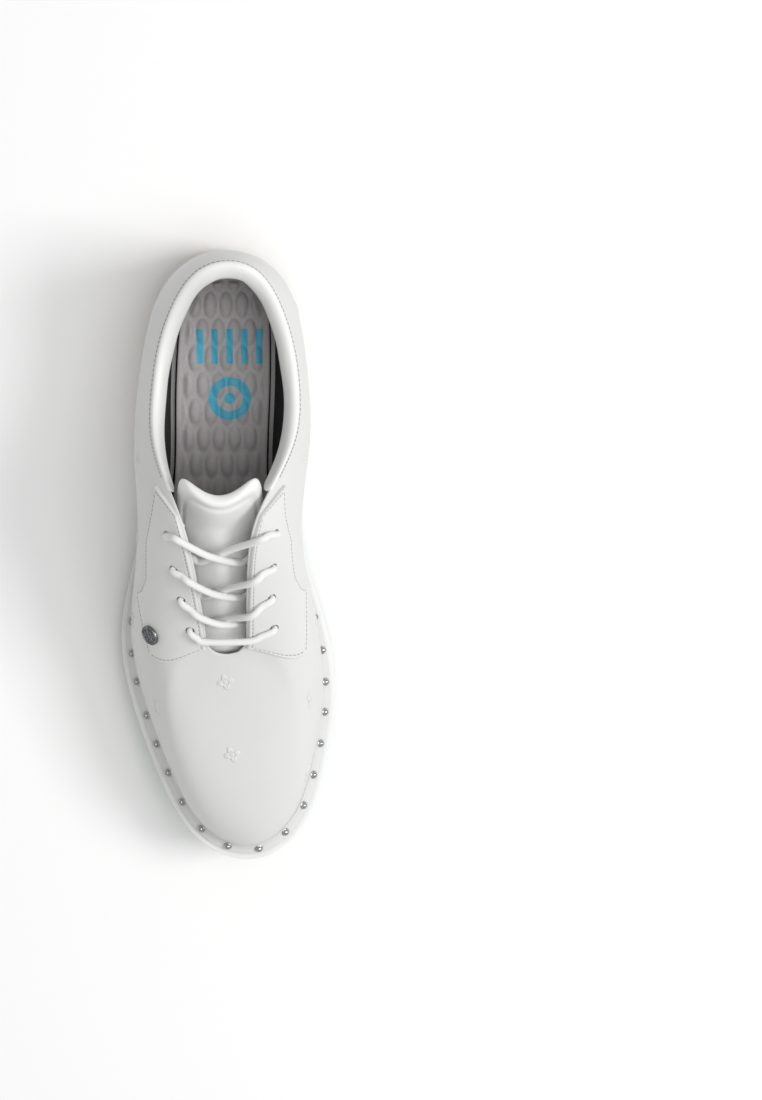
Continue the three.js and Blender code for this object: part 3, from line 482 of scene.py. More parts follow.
foot_out, foot_up = closed_spline(FOOT_OUT), closed_spline(FOOT_UP)
edge_out, edge_down = closed_spline(EDGE_OUT), closed_spline(EDGE_DOWN)


def upper_surface(angle, v):
    """Outside of the upper: cubic Bezier in v from the welt (0) to the opening edge (1)."""
    angle, v = np.broadcast_arrays(np.asarray(angle, float), np.asarray(v, float))
    out = outward(angle)
    foot = sole_point(angle, FEATHER_INSET, welt_top, GAP)
    edge = np.stack([line(angle) for line in opening], -1)
    lower = foot + out * foot_out(angle)[..., None]
    lower[..., 2] += foot_up(angle)
    higher = edge + out * edge_out(angle)[..., None]
    higher[..., 2] -= edge_down(angle)
    v = v[..., None]
    return (foot * (1 - v) ** 3 + lower * 3 * v * (1 - v) ** 2
            + higher * 3 * v * v * (1 - v) + edge * v ** 3)


def upper_normal(angle, v):
    """Unit normal of the upper, outwards, from central differences."""
    step = 0.004
    across = upper_surface(angle + step, v) - upper_surface(angle - step, v)
    rise = upper_surface(angle, v + step) - upper_surface(angle, v - step)
    normal = np.cross(across, rise)
    return normal / np.linalg.norm(normal, axis=-1, keepdims=True)


def upper_point(angle, v, off):
    """A point a distance off the upper, positive outside."""
    angle, v, off = np.broadcast_arrays(*(np.asarray(part, float) for part in (angle, v, off)))
    return upper_surface(angle, v) + upper_normal(angle, v) * off[..., None]


def below(angles, distances):
    """v at given distances below the opening edge along the surface, (angle, distance)."""
    distances = np.asarray(distances, float)
    steps = np.linspace(1, 0, 101)
    walls = upper_surface(angles[:, None], steps[None])
    spans = np.linalg.norm(np.diff(walls, axis=1), axis=-1)
    gone = np.concatenate([np.zeros((len(angles), 1)), np.cumsum(spans, 1)], 1)
    found = np.array([np.interp(distances, wall, steps) for wall in gone])
    return found - np.minimum(distances, 0)[None] * 0.01 / gone[:, 1:2]


table_angle, table_v = np.meshgrid(np.linspace(0, TURN, 721), np.linspace(0, 1.04, 105), indexing="ij")
table = upper_surface(table_angle, table_v)


def locate(axes, target, half=0):
    """(angle, v) of the place whose two coordinates come nearest a target; half picks a side."""
    miss = np.linalg.norm(table[..., axes] - np.asarray(target, float), axis=-1)
    miss = miss + 1000 * (half * (table_angle - math.pi) < 0) + 1000 * (table_v < 0.12)
    k = np.unravel_index(np.argmin(miss), miss.shape)
    angle, v = table_angle[k], table_v[k]
    reach = np.array([TURN / 720, 0.01])
    for _ in range(3):
        near = np.stack(np.meshgrid(np.linspace(-1, 1, 11), np.linspace(-1, 1, 11), indexing="ij"), -1)
        near = near.reshape(-1, 2) * reach + [angle, v]
        miss = np.linalg.norm(upper_surface(near[:, 0], near[:, 1])[:, axes] - target, axis=-1)
        angle, v = near[np.argmin(miss)]
        reach = reach / 5
    return float(angle), float(v)


def leather(name, colour, shade, roughness, grain=0.00005, sockets=None):
    """Finished leather: pores and fine creases from two cell patterns, a soft tonal drift."""
    made, tree, shader = new_material(name, colour, roughness, sockets)
    place = object_place(tree)
    toned(tree, shader, noise(tree, place, 22.0, 2.0), colour, shade)
    pores = add_node(tree, "TexVoronoi", {"Scale": 1500.0, "feature": "SMOOTH_F1"}, {"Vector": place})
    creases = add_node(tree, "TexVoronoi", {"Scale": 520.0, "feature": "DISTANCE_TO_EDGE"},
                       {"Vector": place})
    capped = add_node(tree, "MapRange", {"From Max": 0.12}, {"Value": creases.outputs["Distance"]})
    both = add_node(tree, "Math", {"operation": "MULTIPLY_ADD", 1: 0.6}, {
        0: capped.outputs["Result"], 2: pores.outputs["Distance"]})
    fine = add_node(tree, "Bump", {"Strength": 0.35, "Distance": grain},
                    {"Height": both.outputs["Value"]})
    soft = noise(tree, place, 45.0, 3.0)
    wave = add_node(tree, "Bump", {"Strength": 0.35, "Distance": 0.0006},
                    {"Height": soft, "Normal": fine.outputs["Normal"]})
    tree.links.new(wave.outputs["Normal"], shader.inputs["Normal"])
    rough = add_node(tree, "MapRange", {"To Min": roughness - 0.05, "To Max": roughness + 0.08},
                     {"Value": soft})
    tree.links.new(rough.outputs["Result"], shader.inputs["Roughness"])
    return made


upper_leather = leather("white_full_grain_leather", "#DDDDDB", "#D6D6D4", 0.46,
                        sockets={"Specular IOR Level": 0.45, "Sheen Weight": 0.08})

EYELETS = [[21.1, 118.1], [4.5, 108.2], [-11.2, 98.1], [-27.1, 88.5]]
EYELET_HOLE = 4.4
HOLE_DEPTH = 14
BADGE_PLACE = [-31, 79]
RIVET_HOLE = 3.1
EYELET_LIFT = {-1: 2, 1: -0.8}
eyelet_spots = {(side, row): locate([1, 2], (y, z + EYELET_LIFT[side]), side)
                for row, (y, z) in enumerate(EYELETS) for side in (-1, 1)}
badge_spot = locate([1, 2], BADGE_PLACE, -1)


def punched(piece, spots, diameters):
    """Cuts round holes square to the upper through a piece, with one boolean for all of them."""
    angle, v = np.array(spots).T
    centre, normal = upper_surface(angle, v), upper_normal(angle, v)
    side = np.cross(normal, [0.0, 0.0, 1.0])
    side /= np.linalg.norm(side, axis=-1, keepdims=True)
    other = np.cross(normal, side)
    turn = np.arange(28) * TURN / 28
    rim = np.cos(turn)[None, :, None] * side[:, None] + np.sin(turn)[None, :, None] * other[:, None]
    rim = rim * np.asarray(diameters)[:, None, None] / 2
    ends = [centre[:, None] + rim + normal[:, None] * lift for lift in (-HOLE_DEPTH / 2, HOLE_DEPTH / 2)]
    cutter = islands("cutter", np.stack(ends, 1), piece.data.materials[0])
    cut = piece.modifiers.new("holes", "BOOLEAN")
    cut.operation, cut.object, cut.solver = "DIFFERENCE", cutter, "EXACT"
    graph = bpy.context.evaluated_depsgraph_get()
    mesh = bpy.data.meshes.new_from_object(piece.evaluated_get(graph))
    piece.modifiers.clear()
    piece.data = mesh
    bpy.data.objects.remove(cutter)
    mesh.polygons.foreach_set("use_smooth", np.ones(len(mesh.polygons), bool))
    mesh.set_sharp_from_angle(angle=math.radians(35))


hole_spots = list(eyelet_spots.values()) + [badge_spot]
hole_sizes = [EYELET_HOLE] * len(eyelet_spots) + [RIVET_HOLE]


def wall_rings(angles, low, high, outer, inner, rows, edge=0.55):
    """Rings of a wall between two v limits: an outer and an inner face at fixed offsets from the
    upper, joined over the top by half an ellipse, an edge high."""
    share = 1 - (1 - np.linspace(0, 1, rows)) ** 1.15
    steps = low[:, None] + (high - low)[:, None] * share[None]
    outside = upper_point(angles[:, None], steps, outer)
    inside = upper_point(angles[:, None], steps, inner)[:, ::-1]
    turn = np.linspace(0, math.pi, 7)[1:-1]
    middle, radius = (outer + inner) / 2, (outer - inner) / 2
    rise = upper_surface(angles, high) - upper_surface(angles, high - 0.01)
    step = 0.01 / np.linalg.norm(rise, axis=-1)
    crown = upper_point(angles[:, None], high[:, None] + step[:, None] * edge * np.sin(turn)[None],
                        middle + radius * np.cos(turn)[None])
    foot = upper_point(angles[:, None], low[:, None], middle)
    return np.concatenate([foot, outside, crown, inside], 1)


UPPER_STEPS = 480
UPPER_ROWS = 84
upper_angles = np.arange(UPPER_STEPS) * TURN / UPPER_STEPS
ones = np.ones(UPPER_STEPS)
upper = sweep("upper_leather", wall_rings(upper_angles, 0 * ones, ones, 0, -LEATHER, UPPER_ROWS),
              True, upper_leather)
punched(upper, hole_spots, hole_sizes)
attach(upper, "shoe")
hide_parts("upper")

# ---------------------------------------------------------------- tonal motifs
# Small raised rosettes scattered over the leather in its own white, a little glossier: four
# petals round a dot, laid on the surface.

MOTIF_RADIUS = 4.3
MOTIF_RISE = 0.6
MOTIF_SIDE = [(122, 57), (82.6, 50.4), (53, 85.8), (43, 43.3), (14.5, 76.4), (2.2, 38.6),
              (-28, 56), (-38.5, 33.5), (-106, 50.3)]
MOTIF_TOP = [(-1.9, -55.6), (-35, -70.6), (1.1, -92.2), (39, -67)]


def rosettes(spots):
    """Four-petalled relief on the upper: outline R(0.5 + 0.5 |cos 2t|^1.5), petals domed as
    sqrt(1 - share^4), each with a vein, and a valley round the dot in the middle."""
    share = np.concatenate([[0.03], np.linspace(0.08, 1, 15)])
    turn = np.arange(72) * TURN / 72
    petals = 0.50 + 0.50 * np.abs(np.cos(2 * turn)) ** 1.5
    radius = MOTIF_RADIUS * share[:, None] * petals[None]
    dome = np.sqrt(np.clip(1 - share ** 4, 0, 1))[:, None]
    valley = 1 - 0.8 * np.exp(-((radius / MOTIF_RADIUS - 0.30) / 0.07) ** 2)
    vein = 1 - 0.35 * np.exp(-(np.sin(2 * turn) * radius / 0.35) ** 2)
    rise = 0.02 + MOTIF_RISE * dome * valley * vein
    rise = np.concatenate([rise, np.full((1, len(turn)), -0.1), np.full((1, len(turn)), -0.1)])
    radius = np.concatenate([radius, radius[-1:], radius[:1]])
    angle, v = np.array(spots).T
    step = 0.004
    wide = np.linalg.norm(upper_surface(angle + step, v) - upper_surface(angle, v), axis=-1) / step
    tall = np.linalg.norm(upper_surface(angle, v + step) - upper_surface(angle, v), axis=-1) / step
    a = angle[:, None, None] + radius * np.cos(turn + 0.3) / wide[:, None, None]
    b = v[:, None, None] + radius * np.sin(turn + 0.3) / tall[:, None, None]
    return upper_point(a, b, rise[None])


motif_spots = [locate([1, 2], place, side) for side in (-1, 1) for place in MOTIF_SIDE]
motif_spots += [locate([0, 1], place) for place in MOTIF_TOP]
motif_leather = leather("white_embossed_leather", "#DEDEDC", "#D7D7D5", 0.34, 0.00003)
motifs = islands("tonal_rosettes", rosettes(motif_spots), motif_leather)
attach(motifs, "shoe")

# ---------------------------------------------------------------- sloped strip and studs
# A narrow groove between welt and upper, its rubber coloured grey as painted shade of the groove, carries
# forty-two round-headed metal studs, each a polished dome on a thin collar.

RAND_INSET = 2.8
RAND_RISE = 3.6
TAPE = 0.5
STUD_COUNT = 42
STUD_RADIUS = 2.0
STUD_HEIGHT = 1.75
STUD_NECK = 0.80               # radius of the dome's foot, as a share of the stud's
STUD_SHOULDER = 0.34           # height of the dome's foot

# The grey of this rubber is painted shade: the groove's shadow laid into its colour.
rand_rubber, tree, shader = new_material("rubber_grey_as_painted_shade", "#D6D6D5", 0.55)
relief(tree, shader, noise(tree, object_place(tree), 900.0, 3.0), 0.4, 0.00005)

strip_foot = sole_point(upper_angles, RAND_INSET, welt_top, GAP)
strip_rise = RAND_RISE / (3 * foot_up(upper_angles))
strip_top = upper_point(upper_angles, strip_rise, -0.15)
strip_heel = upper_point(upper_angles, 0, -0.15)
strip_heel[:, 2] = strip_foot[:, 2]
hollow = np.linspace(0, 1, 7)
strip_face = (strip_foot[:, None] * (1 - hollow)[None, :, None]
              + strip_top[:, None] * hollow[None, :, None])
strip_out = np.cross(np.roll(strip_foot, -1, 0) - np.roll(strip_foot, 1, 0), strip_top - strip_foot)
strip_out /= np.linalg.norm(strip_out, axis=-1, keepdims=True)
strip_face += strip_out[:, None] * (0.35 + 0.25 * np.cos(TURN * hollow))[None, :, None]
rand = sweep("rand_strip_groove", np.concatenate([strip_face, strip_heel[:, None]], 1), True, rand_rubber)
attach(rand, "shoe")
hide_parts("rand_strip")

stud_metal, tree, shader = new_material("polished_gunmetal", "#B4B5B6", 0.16, {"Metallic": 1.0})
wear = noise(tree, object_place(tree), 700.0, 4.0)
rough = add_node(tree, "MapRange", {"To Min": 0.14, "To Max": 0.32}, {"Value": wear})
tree.links.new(rough.outputs["Result"], shader.inputs["Roughness"])


def framed(shape, centre, out, along):
    """Copies of a local shape (ring, point, 3) stood on places: x along, y across, z outwards."""
    along = along - out * np.sum(along * out, -1, keepdims=True)
    along = along / np.linalg.norm(along, axis=-1, keepdims=True)
    across = np.cross(out, along)
    axes = np.stack([along, across, out], -1)
    return centre[:, None, None] + np.einsum("kij,rpj->krpi", axes, shape)


stud_line = (strip_foot + strip_top) / 2 + strip_out * (0.2 + TAPE)
spans = np.linalg.norm(np.roll(stud_line, -1, 0) - stud_line, axis=-1)
travelled = np.concatenate([[0], np.cumsum(spans)])
stud_share = np.interp((np.arange(STUD_COUNT) + 0.5) / STUD_COUNT * travelled[-1], travelled,
                       np.arange(UPPER_STEPS + 1))
stud_at = np.round(stud_share).astype(int) % UPPER_STEPS
turn = np.arange(20) * TURN / 20
profile = [(0.04, -0.3), (STUD_RADIUS, -0.3), (STUD_RADIUS, 0.10), (STUD_RADIUS * 0.97, 0.22),
           (STUD_RADIUS * 0.86, 0.26), (STUD_RADIUS * STUD_NECK, STUD_SHOULDER)]
for t in np.linspace(0.12, 1, 7):
    profile.append((STUD_RADIUS * STUD_NECK * math.cos(t * math.pi / 2) + 0.03,
                    STUD_SHOULDER + (STUD_HEIGHT - STUD_SHOULDER) * math.sin(t * math.pi / 2)))
profile = np.array(profile)
stud_shape = np.stack([profile[:, :1] * np.cos(turn), profile[:, :1] * np.sin(turn),
                       profile[:, 1:] + 0 * turn], -1)
stud_along = (np.roll(stud_line, -1, 0) - stud_line)[stud_at]
studs = islands("welt_studs_round",
                framed(stud_shape, stud_line[stud_at], strip_out[stud_at], stud_along), stud_metal, 60)
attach(studs, "shoe")
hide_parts("welt_studs")

# ---------------------------------------------------------------- facings
# Two leather patches laid over the quarters that carry the eyelets. Each has a rolled edge,
# a pressed stitch channel just inside it, and a row of short thread stitches in the channel.

FACING_ROWS = [
    (139, (-42.7, 71)), (126, (-27, 74)), (117, (-11.2, 77.2)), (112, (-9.8, 82.7)),
    (106, (-3.5, 90)), (99, (15.5, 100.2)), (90, (42.4, 113.7))]
FACING_TOP = 2.1
FACING_LOW = 0.06
CHANNEL_INSET = 1.7
CHANNEL_DEPTH = 0.3
CHANNEL_WIDTH = 0.3
ROLL = 0.8
ROLL_FOOT = 0.25               # thickness left at the very edge
THREAD_LIFT = 0.05             # thread above the bottom of its channel
STITCH = {"length": 1.7, "pitch": 2.3, "radius": 0.26}

facing_leather = leather("white_facing_leather", "#DFDFDD", "#D8D8D6", 0.42,
                         sockets={"Specular IOR Level": 0.45, "Sheen Weight": 0.08})
# White thread coloured grey: the grey is painted shade, the shadow of the stitch holes and channel.
thread, tree, shader = new_material("white_thread_grey_painted_shade", "#A6A6A3", 0.7, {"Sheen Weight": 0.3})
relief(tree, shader, noise(tree, object_place(tree), 2500.0, 2.0), 0.6, 0.00005)


def run_along(line):
    """Distance from a line's first point to each of its points: the running sum of its steps."""
    return np.concatenate([[0], np.cumsum(np.linalg.norm(np.diff(line, axis=0), axis=-1))])


def at_marks(marks, run, line):
    """Rows of a line at given marks along its run, by straight interpolation."""
    return np.stack([np.interp(marks, run, column) for column in line.T], 1)


def smoothed(values, reach):
    """Moving average over 2 * reach + 1 rows, with its two ends kept in place."""
    longer = np.concatenate([2 * values[:1] - values[reach:0:-1], values,
                             2 * values[-1:] - values[-2:-reach - 2:-1]])
    kernel = np.ones(2 * reach + 1) / (2 * reach + 1)
    return np.stack([np.convolve(column, kernel, "valid") for column in longer.T], 1)


def facing_outline(side):
    """Per row from front to back: the gap edge's angle, and the outer edge's (angle, v)."""
    stations = []
    for gap, place in FACING_ROWS:
        gap_angle = math.radians(gap) if side < 0 else TURN - math.radians(gap)
        stations.append((gap_angle, *locate([1, 2], place, side)))
    stations = np.array(stations)
    rows = np.linspace(0, len(stations) - 1, 30 * (len(stations) - 1) + 1)
    return smoothed(at_marks(rows, np.arange(len(stations)), stations), 2)


EDGE_STEPS = np.array([0, 0.08, 0.2, 0.38, 0.62, 1.0, 1.3, 1.55, 1.7, 1.85, 2.1, 2.5])
EDGE_ZONE = 3.2                # where the coarse steps begin


def edge_spaced(length, coarse):
    """Shares of a length: the fine edge steps near both ends, coarse even ones between."""
    between = np.linspace(EDGE_ZONE, length - EDGE_ZONE, coarse)
    return np.concatenate([EDGE_STEPS, between, (length - EDGE_STEPS)[::-1]]) / length


def facing(side, name):
    """A facing as a closed solid over a grid (row, column). Its lift is a quarter circle over the
    rolled border, less a bell-shaped stitch channel at a fixed inset."""
    outline = facing_outline(side)
    middle = upper_surface((outline[:, 0] + outline[:, 1]) / 2, (1 + outline[:, 2]) / 2)
    run = run_along(middle)
    shares = edge_spaced(run[-1], 90)
    outline = at_marks(shares * run[-1], run, outline)
    gap, outer, outer_v = outline.T
    width = np.linalg.norm(upper_surface(gap, 1) - upper_surface(outer, outer_v), axis=-1)
    across = np.stack([edge_spaced(w, 22) for w in width])
    angle = gap[:, None] * (1 - across) + outer[:, None] * across
    v = 1 - across + outer_v[:, None] * across
    from_ends = np.minimum(shares, 1 - shares)[:, None] * run[-1]
    inset = np.minimum(np.minimum(across, 1 - across) * width[:, None], from_ends)
    roll = np.sqrt(1 - (1 - np.clip(inset / ROLL, 0, 1)) ** 2)
    channel = CHANNEL_DEPTH * np.exp(-((inset - CHANNEL_INSET) / CHANNEL_WIDTH) ** 2)
    lift = FACING_LOW + ROLL_FOOT + (FACING_TOP - FACING_LOW - ROLL_FOOT) * roll - channel
    outside = upper_point(angle, v, lift)
    inside = upper_point(angle, v, FACING_LOW)[:, ::-1]
    piece = sweep(name, np.concatenate([outside, inside], 1), False, facing_leather, 50)
    return piece, gap, outer, outer_v, width, run[-1]


def stitch_row(name, angle, v, off):
    """Short thread capsules at an even pitch along a line (angle, v) on the upper."""
    line = upper_point(angle, v, off)
    run = run_along(line)
    marks = np.arange(STITCH["pitch"] / 2, run[-1], STITCH["pitch"])
    along = at_marks(marks + 0.3, run, line) - at_marks(marks - 0.3, run, line)
    normal = upper_normal(np.interp(marks, run, angle), np.interp(marks, run, v))
    turn = np.arange(6) * TURN / 6
    x = STITCH["length"] * np.array([-0.5, -0.42, -0.25, 0.25, 0.42, 0.5])
    radius = STITCH["radius"] * np.array([0.2, 0.75, 1, 1, 0.75, 0.2])
    shape = np.stack([x[:, None] + 0 * turn, radius[:, None] * np.cos(turn),
                      radius[:, None] * np.sin(turn)], -1)
    made = islands(name, framed(shape, at_marks(marks, run, line), normal, along), thread, 80)
    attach(made, "shoe")


for side, name in ((-1, "lateral"), (1, "medial")):
    piece, gap, outer, outer_v, width, length = facing(side, f"facing_{name}_leather")
    spots = [spot for (which, _), spot in eyelet_spots.items() if which == side]
    sizes = [EYELET_HOLE] * len(spots)
    if side < 0:
        spots, sizes = spots + [badge_spot], sizes + [RIVET_HOLE]
    punched(piece, spots, sizes)
    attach(piece, "shoe")
    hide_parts(f"facing_{name}")
    t = CHANNEL_INSET / width
    first, last = (np.argmin(abs(edge_spaced(length, 90) * length - distance))
                   for distance in (CHANNEL_INSET, length - CHANNEL_INSET))
    rows = slice(first, last + 1)
    gap_side = np.stack([gap * (1 - t) + outer * t, 1 - t + outer_v * t])
    outer_side = np.stack([gap * t + outer * (1 - t), t + outer_v * (1 - t)])
    across = np.linspace(0.02, 0.98, 60)
    lift = FACING_TOP - CHANNEL_DEPTH + THREAD_LIFT
    stitch_row(f"stitching_{name}_gap", *gap_side[:, rows], lift)
    stitch_row(f"stitching_{name}_outer", *outer_side[:, rows], lift)
    for end, row in (("front", first), ("rear", last)):
        seam = gap_side[:, [row]] * (1 - across) + outer_side[:, [row]] * across
        stitch_row(f"stitching_{name}_{end}", *seam, lift)

# ---------------------------------------------------------------- badge
# A round metal ornament at the front corner of the outer facing: a beaded rim round an
# eight-petalled relief with a domed centre.

BADGE = 10
BADGE_THICKNESS = 1.6
BADGE_SEAT = 2.4

badge_metal, tree, shader = new_material("aged_nickel", "#7F8082", 0.24, {"Metallic": 1.0})
toned(tree, shader, noise(tree, object_place(tree), 500.0, 4.0), "#97989A", "#4A4B4D")

share = np.concatenate([np.linspace(0.015, 0.84, 30), [0.87, 0.9, 0.93, 0.96, 0.985, 1.0]])
turn = np.arange(144) * TURN / 144
petal = np.abs(np.cos(4 * turn))[None] ** 0.7 * np.exp(-((share[:, None] - 0.52) / 0.2) ** 4)
dome = np.sqrt(np.clip(1 - (share / 0.22) ** 2, 0, 1))[:, None]
beads = np.exp(-((share[:, None] - 0.92) / 0.05) ** 2) * (0.75 + 0.25 * np.cos(36 * turn)[None])
badge_rise = BADGE_THICKNESS * (0.42 + 0.36 * petal + 0.42 * dome + 0.55 * beads)
badge_rise[-1] = BADGE_THICKNESS * 0.25
radius = BADGE / 2 * share[:, None] + 0 * turn
radius = np.concatenate([radius, radius[[-1, 0]]])
badge_rise = np.concatenate([badge_rise, 0 * radius[-2:]])
badge_shape = np.stack([radius * np.cos(turn), radius * np.sin(turn), badge_rise], -1)
badge_angle, badge_v = (np.array([part]) for part in badge_spot)
badge_place = upper_point(badge_angle, badge_v, BADGE_SEAT)
badge_out = upper_normal(badge_angle, badge_v)
badge = islands("badge_ornament",
                framed(badge_shape, badge_place, badge_out, np.array([[0.0, 1.0, 0.0]])), badge_metal, 60)
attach(badge, "shoe")
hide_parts("badge_cap")

# ---------------------------------------------------------------- lining
# Black knitted lining inside the upper: a thin shell with a fine diagonal weave, punched with
# the eyelet holes. It stops below the collar, and a little short of the opening edge elsewhere.

STIFFENER, OVERLAY_GAP, LINING = 0.8, 0.55, 0.9
STACK_STIFFENER = -LEATHER - OVERLAY_GAP
STACK_LINING = STACK_STIFFENER - STIFFENER - GAP
STACK_INSIDE = STACK_LINING - LINING
COLLAR_DEPTH = 33
COLLAR_END = 83
EDGE_MARGIN = 5.0              # bare leather between the lining and the opening edge
COLLAR_FADE = (1.04, 1.22)     # where the lining rises past the collar's end, in shares of its reach
RIB_TURN = 6.28                # a full turn, from pitch to wave scale


def woven(name, colour, shade, pitch):
    """Woven or knitted cloth: the product of two crossed sine ribs at a pitch in metres."""
    made, tree, shader = new_material(name, colour, 0.85, {"Sheen Weight": 0.35})
    place = object_place(tree)
    ribs = []
    for turned in (0.7, -0.7):
        mapped = add_node(tree, "Mapping", {"Rotation": (turned, turned, turned)}, {"Vector": place})
        ribs.append(add_node(tree, "TexWave", {"Scale": 1 / (pitch * RIB_TURN), "Distortion": 0.4},
                             {"Vector": mapped.outputs["Vector"]}).outputs["Fac"])
    both = add_node(tree, "Math", {"operation": "MULTIPLY"}, {0: ribs[0], 1: ribs[1]})
    toned(tree, shader, both.outputs["Value"], shade, colour)
    relief(tree, shader, both.outputs["Value"], 0.5, 0.00015)
    return made


black_lining = woven("black_knit_lining", "#1E1B1C", "#0E0C0D", 0.0009)
from_heel = np.minimum(upper_angles, TURN - upper_angles)
lining_low = below(upper_angles, [COLLAR_DEPTH + 2])[:, 0]
lining_edge = below(upper_angles, [EDGE_MARGIN])[:, 0]
lining_top = lining_low + (lining_edge - lining_low) * smooth(
    from_heel / math.radians(COLLAR_END), *COLLAR_FADE)
lining_rings = wall_rings(upper_angles, 0 * ones, lining_top, STACK_LINING, STACK_INSIDE, 40)
lining = sweep("lining_knit", lining_rings, True, black_lining)
punched(lining, hole_spots, hole_sizes)
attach(lining, "shoe")
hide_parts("lining")

# ---------------------------------------------------------------- padded collar
# Soft white leather rolled over the topline from one facing to the other and filled with foam.
# It is fullest just inside the edge, pulls in at its lower seam, and puckers a little there.

COLLAR_FOAM = 5
COLLAR_SKIN = 1
SKIN_FRONT = STACK_STIFFENER - COLLAR_FOAM - GAP - COLLAR_SKIN
COLLAR_OUTSIDE = [(0.9, 0.15), (-0.5, 0.25), (-1.5, -0.9), (-1.7, -2.6), (-0.9, -5.0),
                  (1.2, SKIN_FRONT + 0.5), (4.0, SKIN_FRONT - 0.5), (9.0, SKIN_FRONT - 0.5),
                  (15.0, SKIN_FRONT - 0.1), (21.0, SKIN_FRONT + 0.9), (27.0, SKIN_FRONT + 2.3),
                  (31.0, STACK_INSIDE - 1.3), (COLLAR_DEPTH, STACK_INSIDE - 0.7)]
COLLAR_INSIDE = [(COLLAR_DEPTH, STACK_INSIDE - 0.1), (27.0, SKIN_FRONT + 3.2), (15.0, SKIN_FRONT + 1.0),
                 (8.0, SKIN_FRONT + 1.0), (2.2, SKIN_FRONT + 1.9), (-0.2, -3.6), (-0.35, -1.6),
                 (-0.2, -0.1), (0.9, 0.02)]


def through(points, count):
    """An even run of points on a Catmull-Rom curve through 2-D or 3-D points."""
    points = np.asarray(points, float)
    longer = np.concatenate([[2 * points[0] - points[1]], points, [2 * points[-1] - points[-2]]])
    t = np.linspace(0, len(points) - 1, count)
    i = np.minimum(t.astype(int), len(points) - 2)
    f = (t - i)[:, None]
    a, b, c, d = (longer[i + k] for k in range(4))
    return 0.5 * (2 * b + (c - a) * f + (2 * a - 5 * b + 4 * c - d) * f ** 2
                  + (3 * b - a - 3 * c + d) * f ** 3)


collar_leather = leather("soft_white_collar_leather", "#F0F0EE", "#E9E9E7", 0.5, 0.00006,
                         {"Sheen Weight": 0.2})
collar_reach = math.radians(COLLAR_END + 1.5)
collar_angles = np.linspace(-collar_reach, collar_reach, 300)
collar_section = np.concatenate([through(COLLAR_OUTSIDE, 46), through(COLLAR_INSIDE, 26)])
collar_v = below(collar_angles, collar_section[:, 0])
ends = np.clip((collar_reach - np.abs(collar_angles)) / math.radians(2.5), 0, 1)
ends = 0.35 + 0.65 * np.sqrt(1 - (1 - ends) ** 2)
seam = np.exp(-((collar_section[:, 0] - COLLAR_DEPTH) / 6.0) ** 2)
pucker = 0.28 * np.sin(collar_angles * 62 + 1.7 * np.sin(collar_angles * 11))
drape = 0.22 * np.sin(collar_angles * 17 + 0.9) * np.sin(collar_angles * 5)
collar_off = collar_section[None, :, 1] * ends[:, None]
below_edge = collar_section[None, :, 1] < -4
collar_off = collar_off + (pucker[:, None] * seam[None] + drape[:, None]) * below_edge
collar = sweep("padded_collar", upper_point(collar_angles[:, None], collar_v, collar_off), False,
               collar_leather, 60)
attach(collar, "shoe")
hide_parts("collar_lining")
top_line = np.linspace(-math.radians(COLLAR_END - 1), math.radians(COLLAR_END - 1), 400)
stitch_row("stitching_topline", top_line, below(top_line, [2.2])[:, 0], 0.1)

# ---------------------------------------------------------------- tongue
# A padded leather tongue: crowned between its edges, with a thick rolled rim round its top,
# which dips in the middle between two soft corners. Its underside is a thin black cloth.

INSTEP_START, INSTEP_END = np.array([0, -42, 81.3]), np.array([0, 26, 130.3])
EYELET_GAP, EYELET_THICKNESS, LACE = 1.4, 0.8, 3.2
LACE_UNDER = STACK_INSIDE - EYELET_GAP - EYELET_THICKNESS - GAP - LACE / 2
TONGUE_CROWN = LACE_UNDER - LACE / 2 - OVERLAY_GAP
TONGUE_FROM, TONGUE_TO = -12, 95
TONGUE_ROOT = -26
TONGUE_HALF = 31 + LACE_UNDER - LACE / 2
TONGUE_THICK = 7.2
TONGUE_HEM = 7.0
TONGUE_RIM = 2.6               # how far the rolled rim reaches in from the outline
TONGUE_SKIN = 0.9              # thickness of the leather turned under
instep_along = (INSTEP_END - INSTEP_START) / np.linalg.norm(INSTEP_END - INSTEP_START)
instep_out = np.array([0, -instep_along[2], instep_along[1]])


def tongue_point(s, x, off):
    """A point of the tongue: s up the instep, x across, off out from its top surface. The surface
    is a parabola across, crown - wrap * x^2, that flares upwards near the top, with a low ridge
    between the facings and a rise over the root."""
    s, x, off = np.broadcast_arrays(*(np.asarray(part, float) for part in (s, x, off)))
    t = (s - TONGUE_FROM) / (TONGUE_TO - TONGUE_FROM)
    flare = smooth(s, 66, 98)
    crown = TONGUE_CROWN + 8.5 * flare - 1.5 * (1 - smooth(s, TONGUE_FROM, 4))
    wrap = 0.014 + 0.012 * t + 0.006 * flare
    along = s + 0.028 * x * x * flare
    gap_crown = 1.8 * np.exp(-(x / 6) ** 2) * smooth(s, 4, 14) * (1 - smooth(s, 62, 74))
    root_rise = 5.2 * np.exp(-((s + 2) / 9) ** 2)
    height = crown - wrap * x * x + gap_crown + root_rise + off
    place = INSTEP_START + along[..., None] * instep_along + height[..., None] * instep_out
    place[..., 0] += -1.2 - 3.2 * t + x
    return place


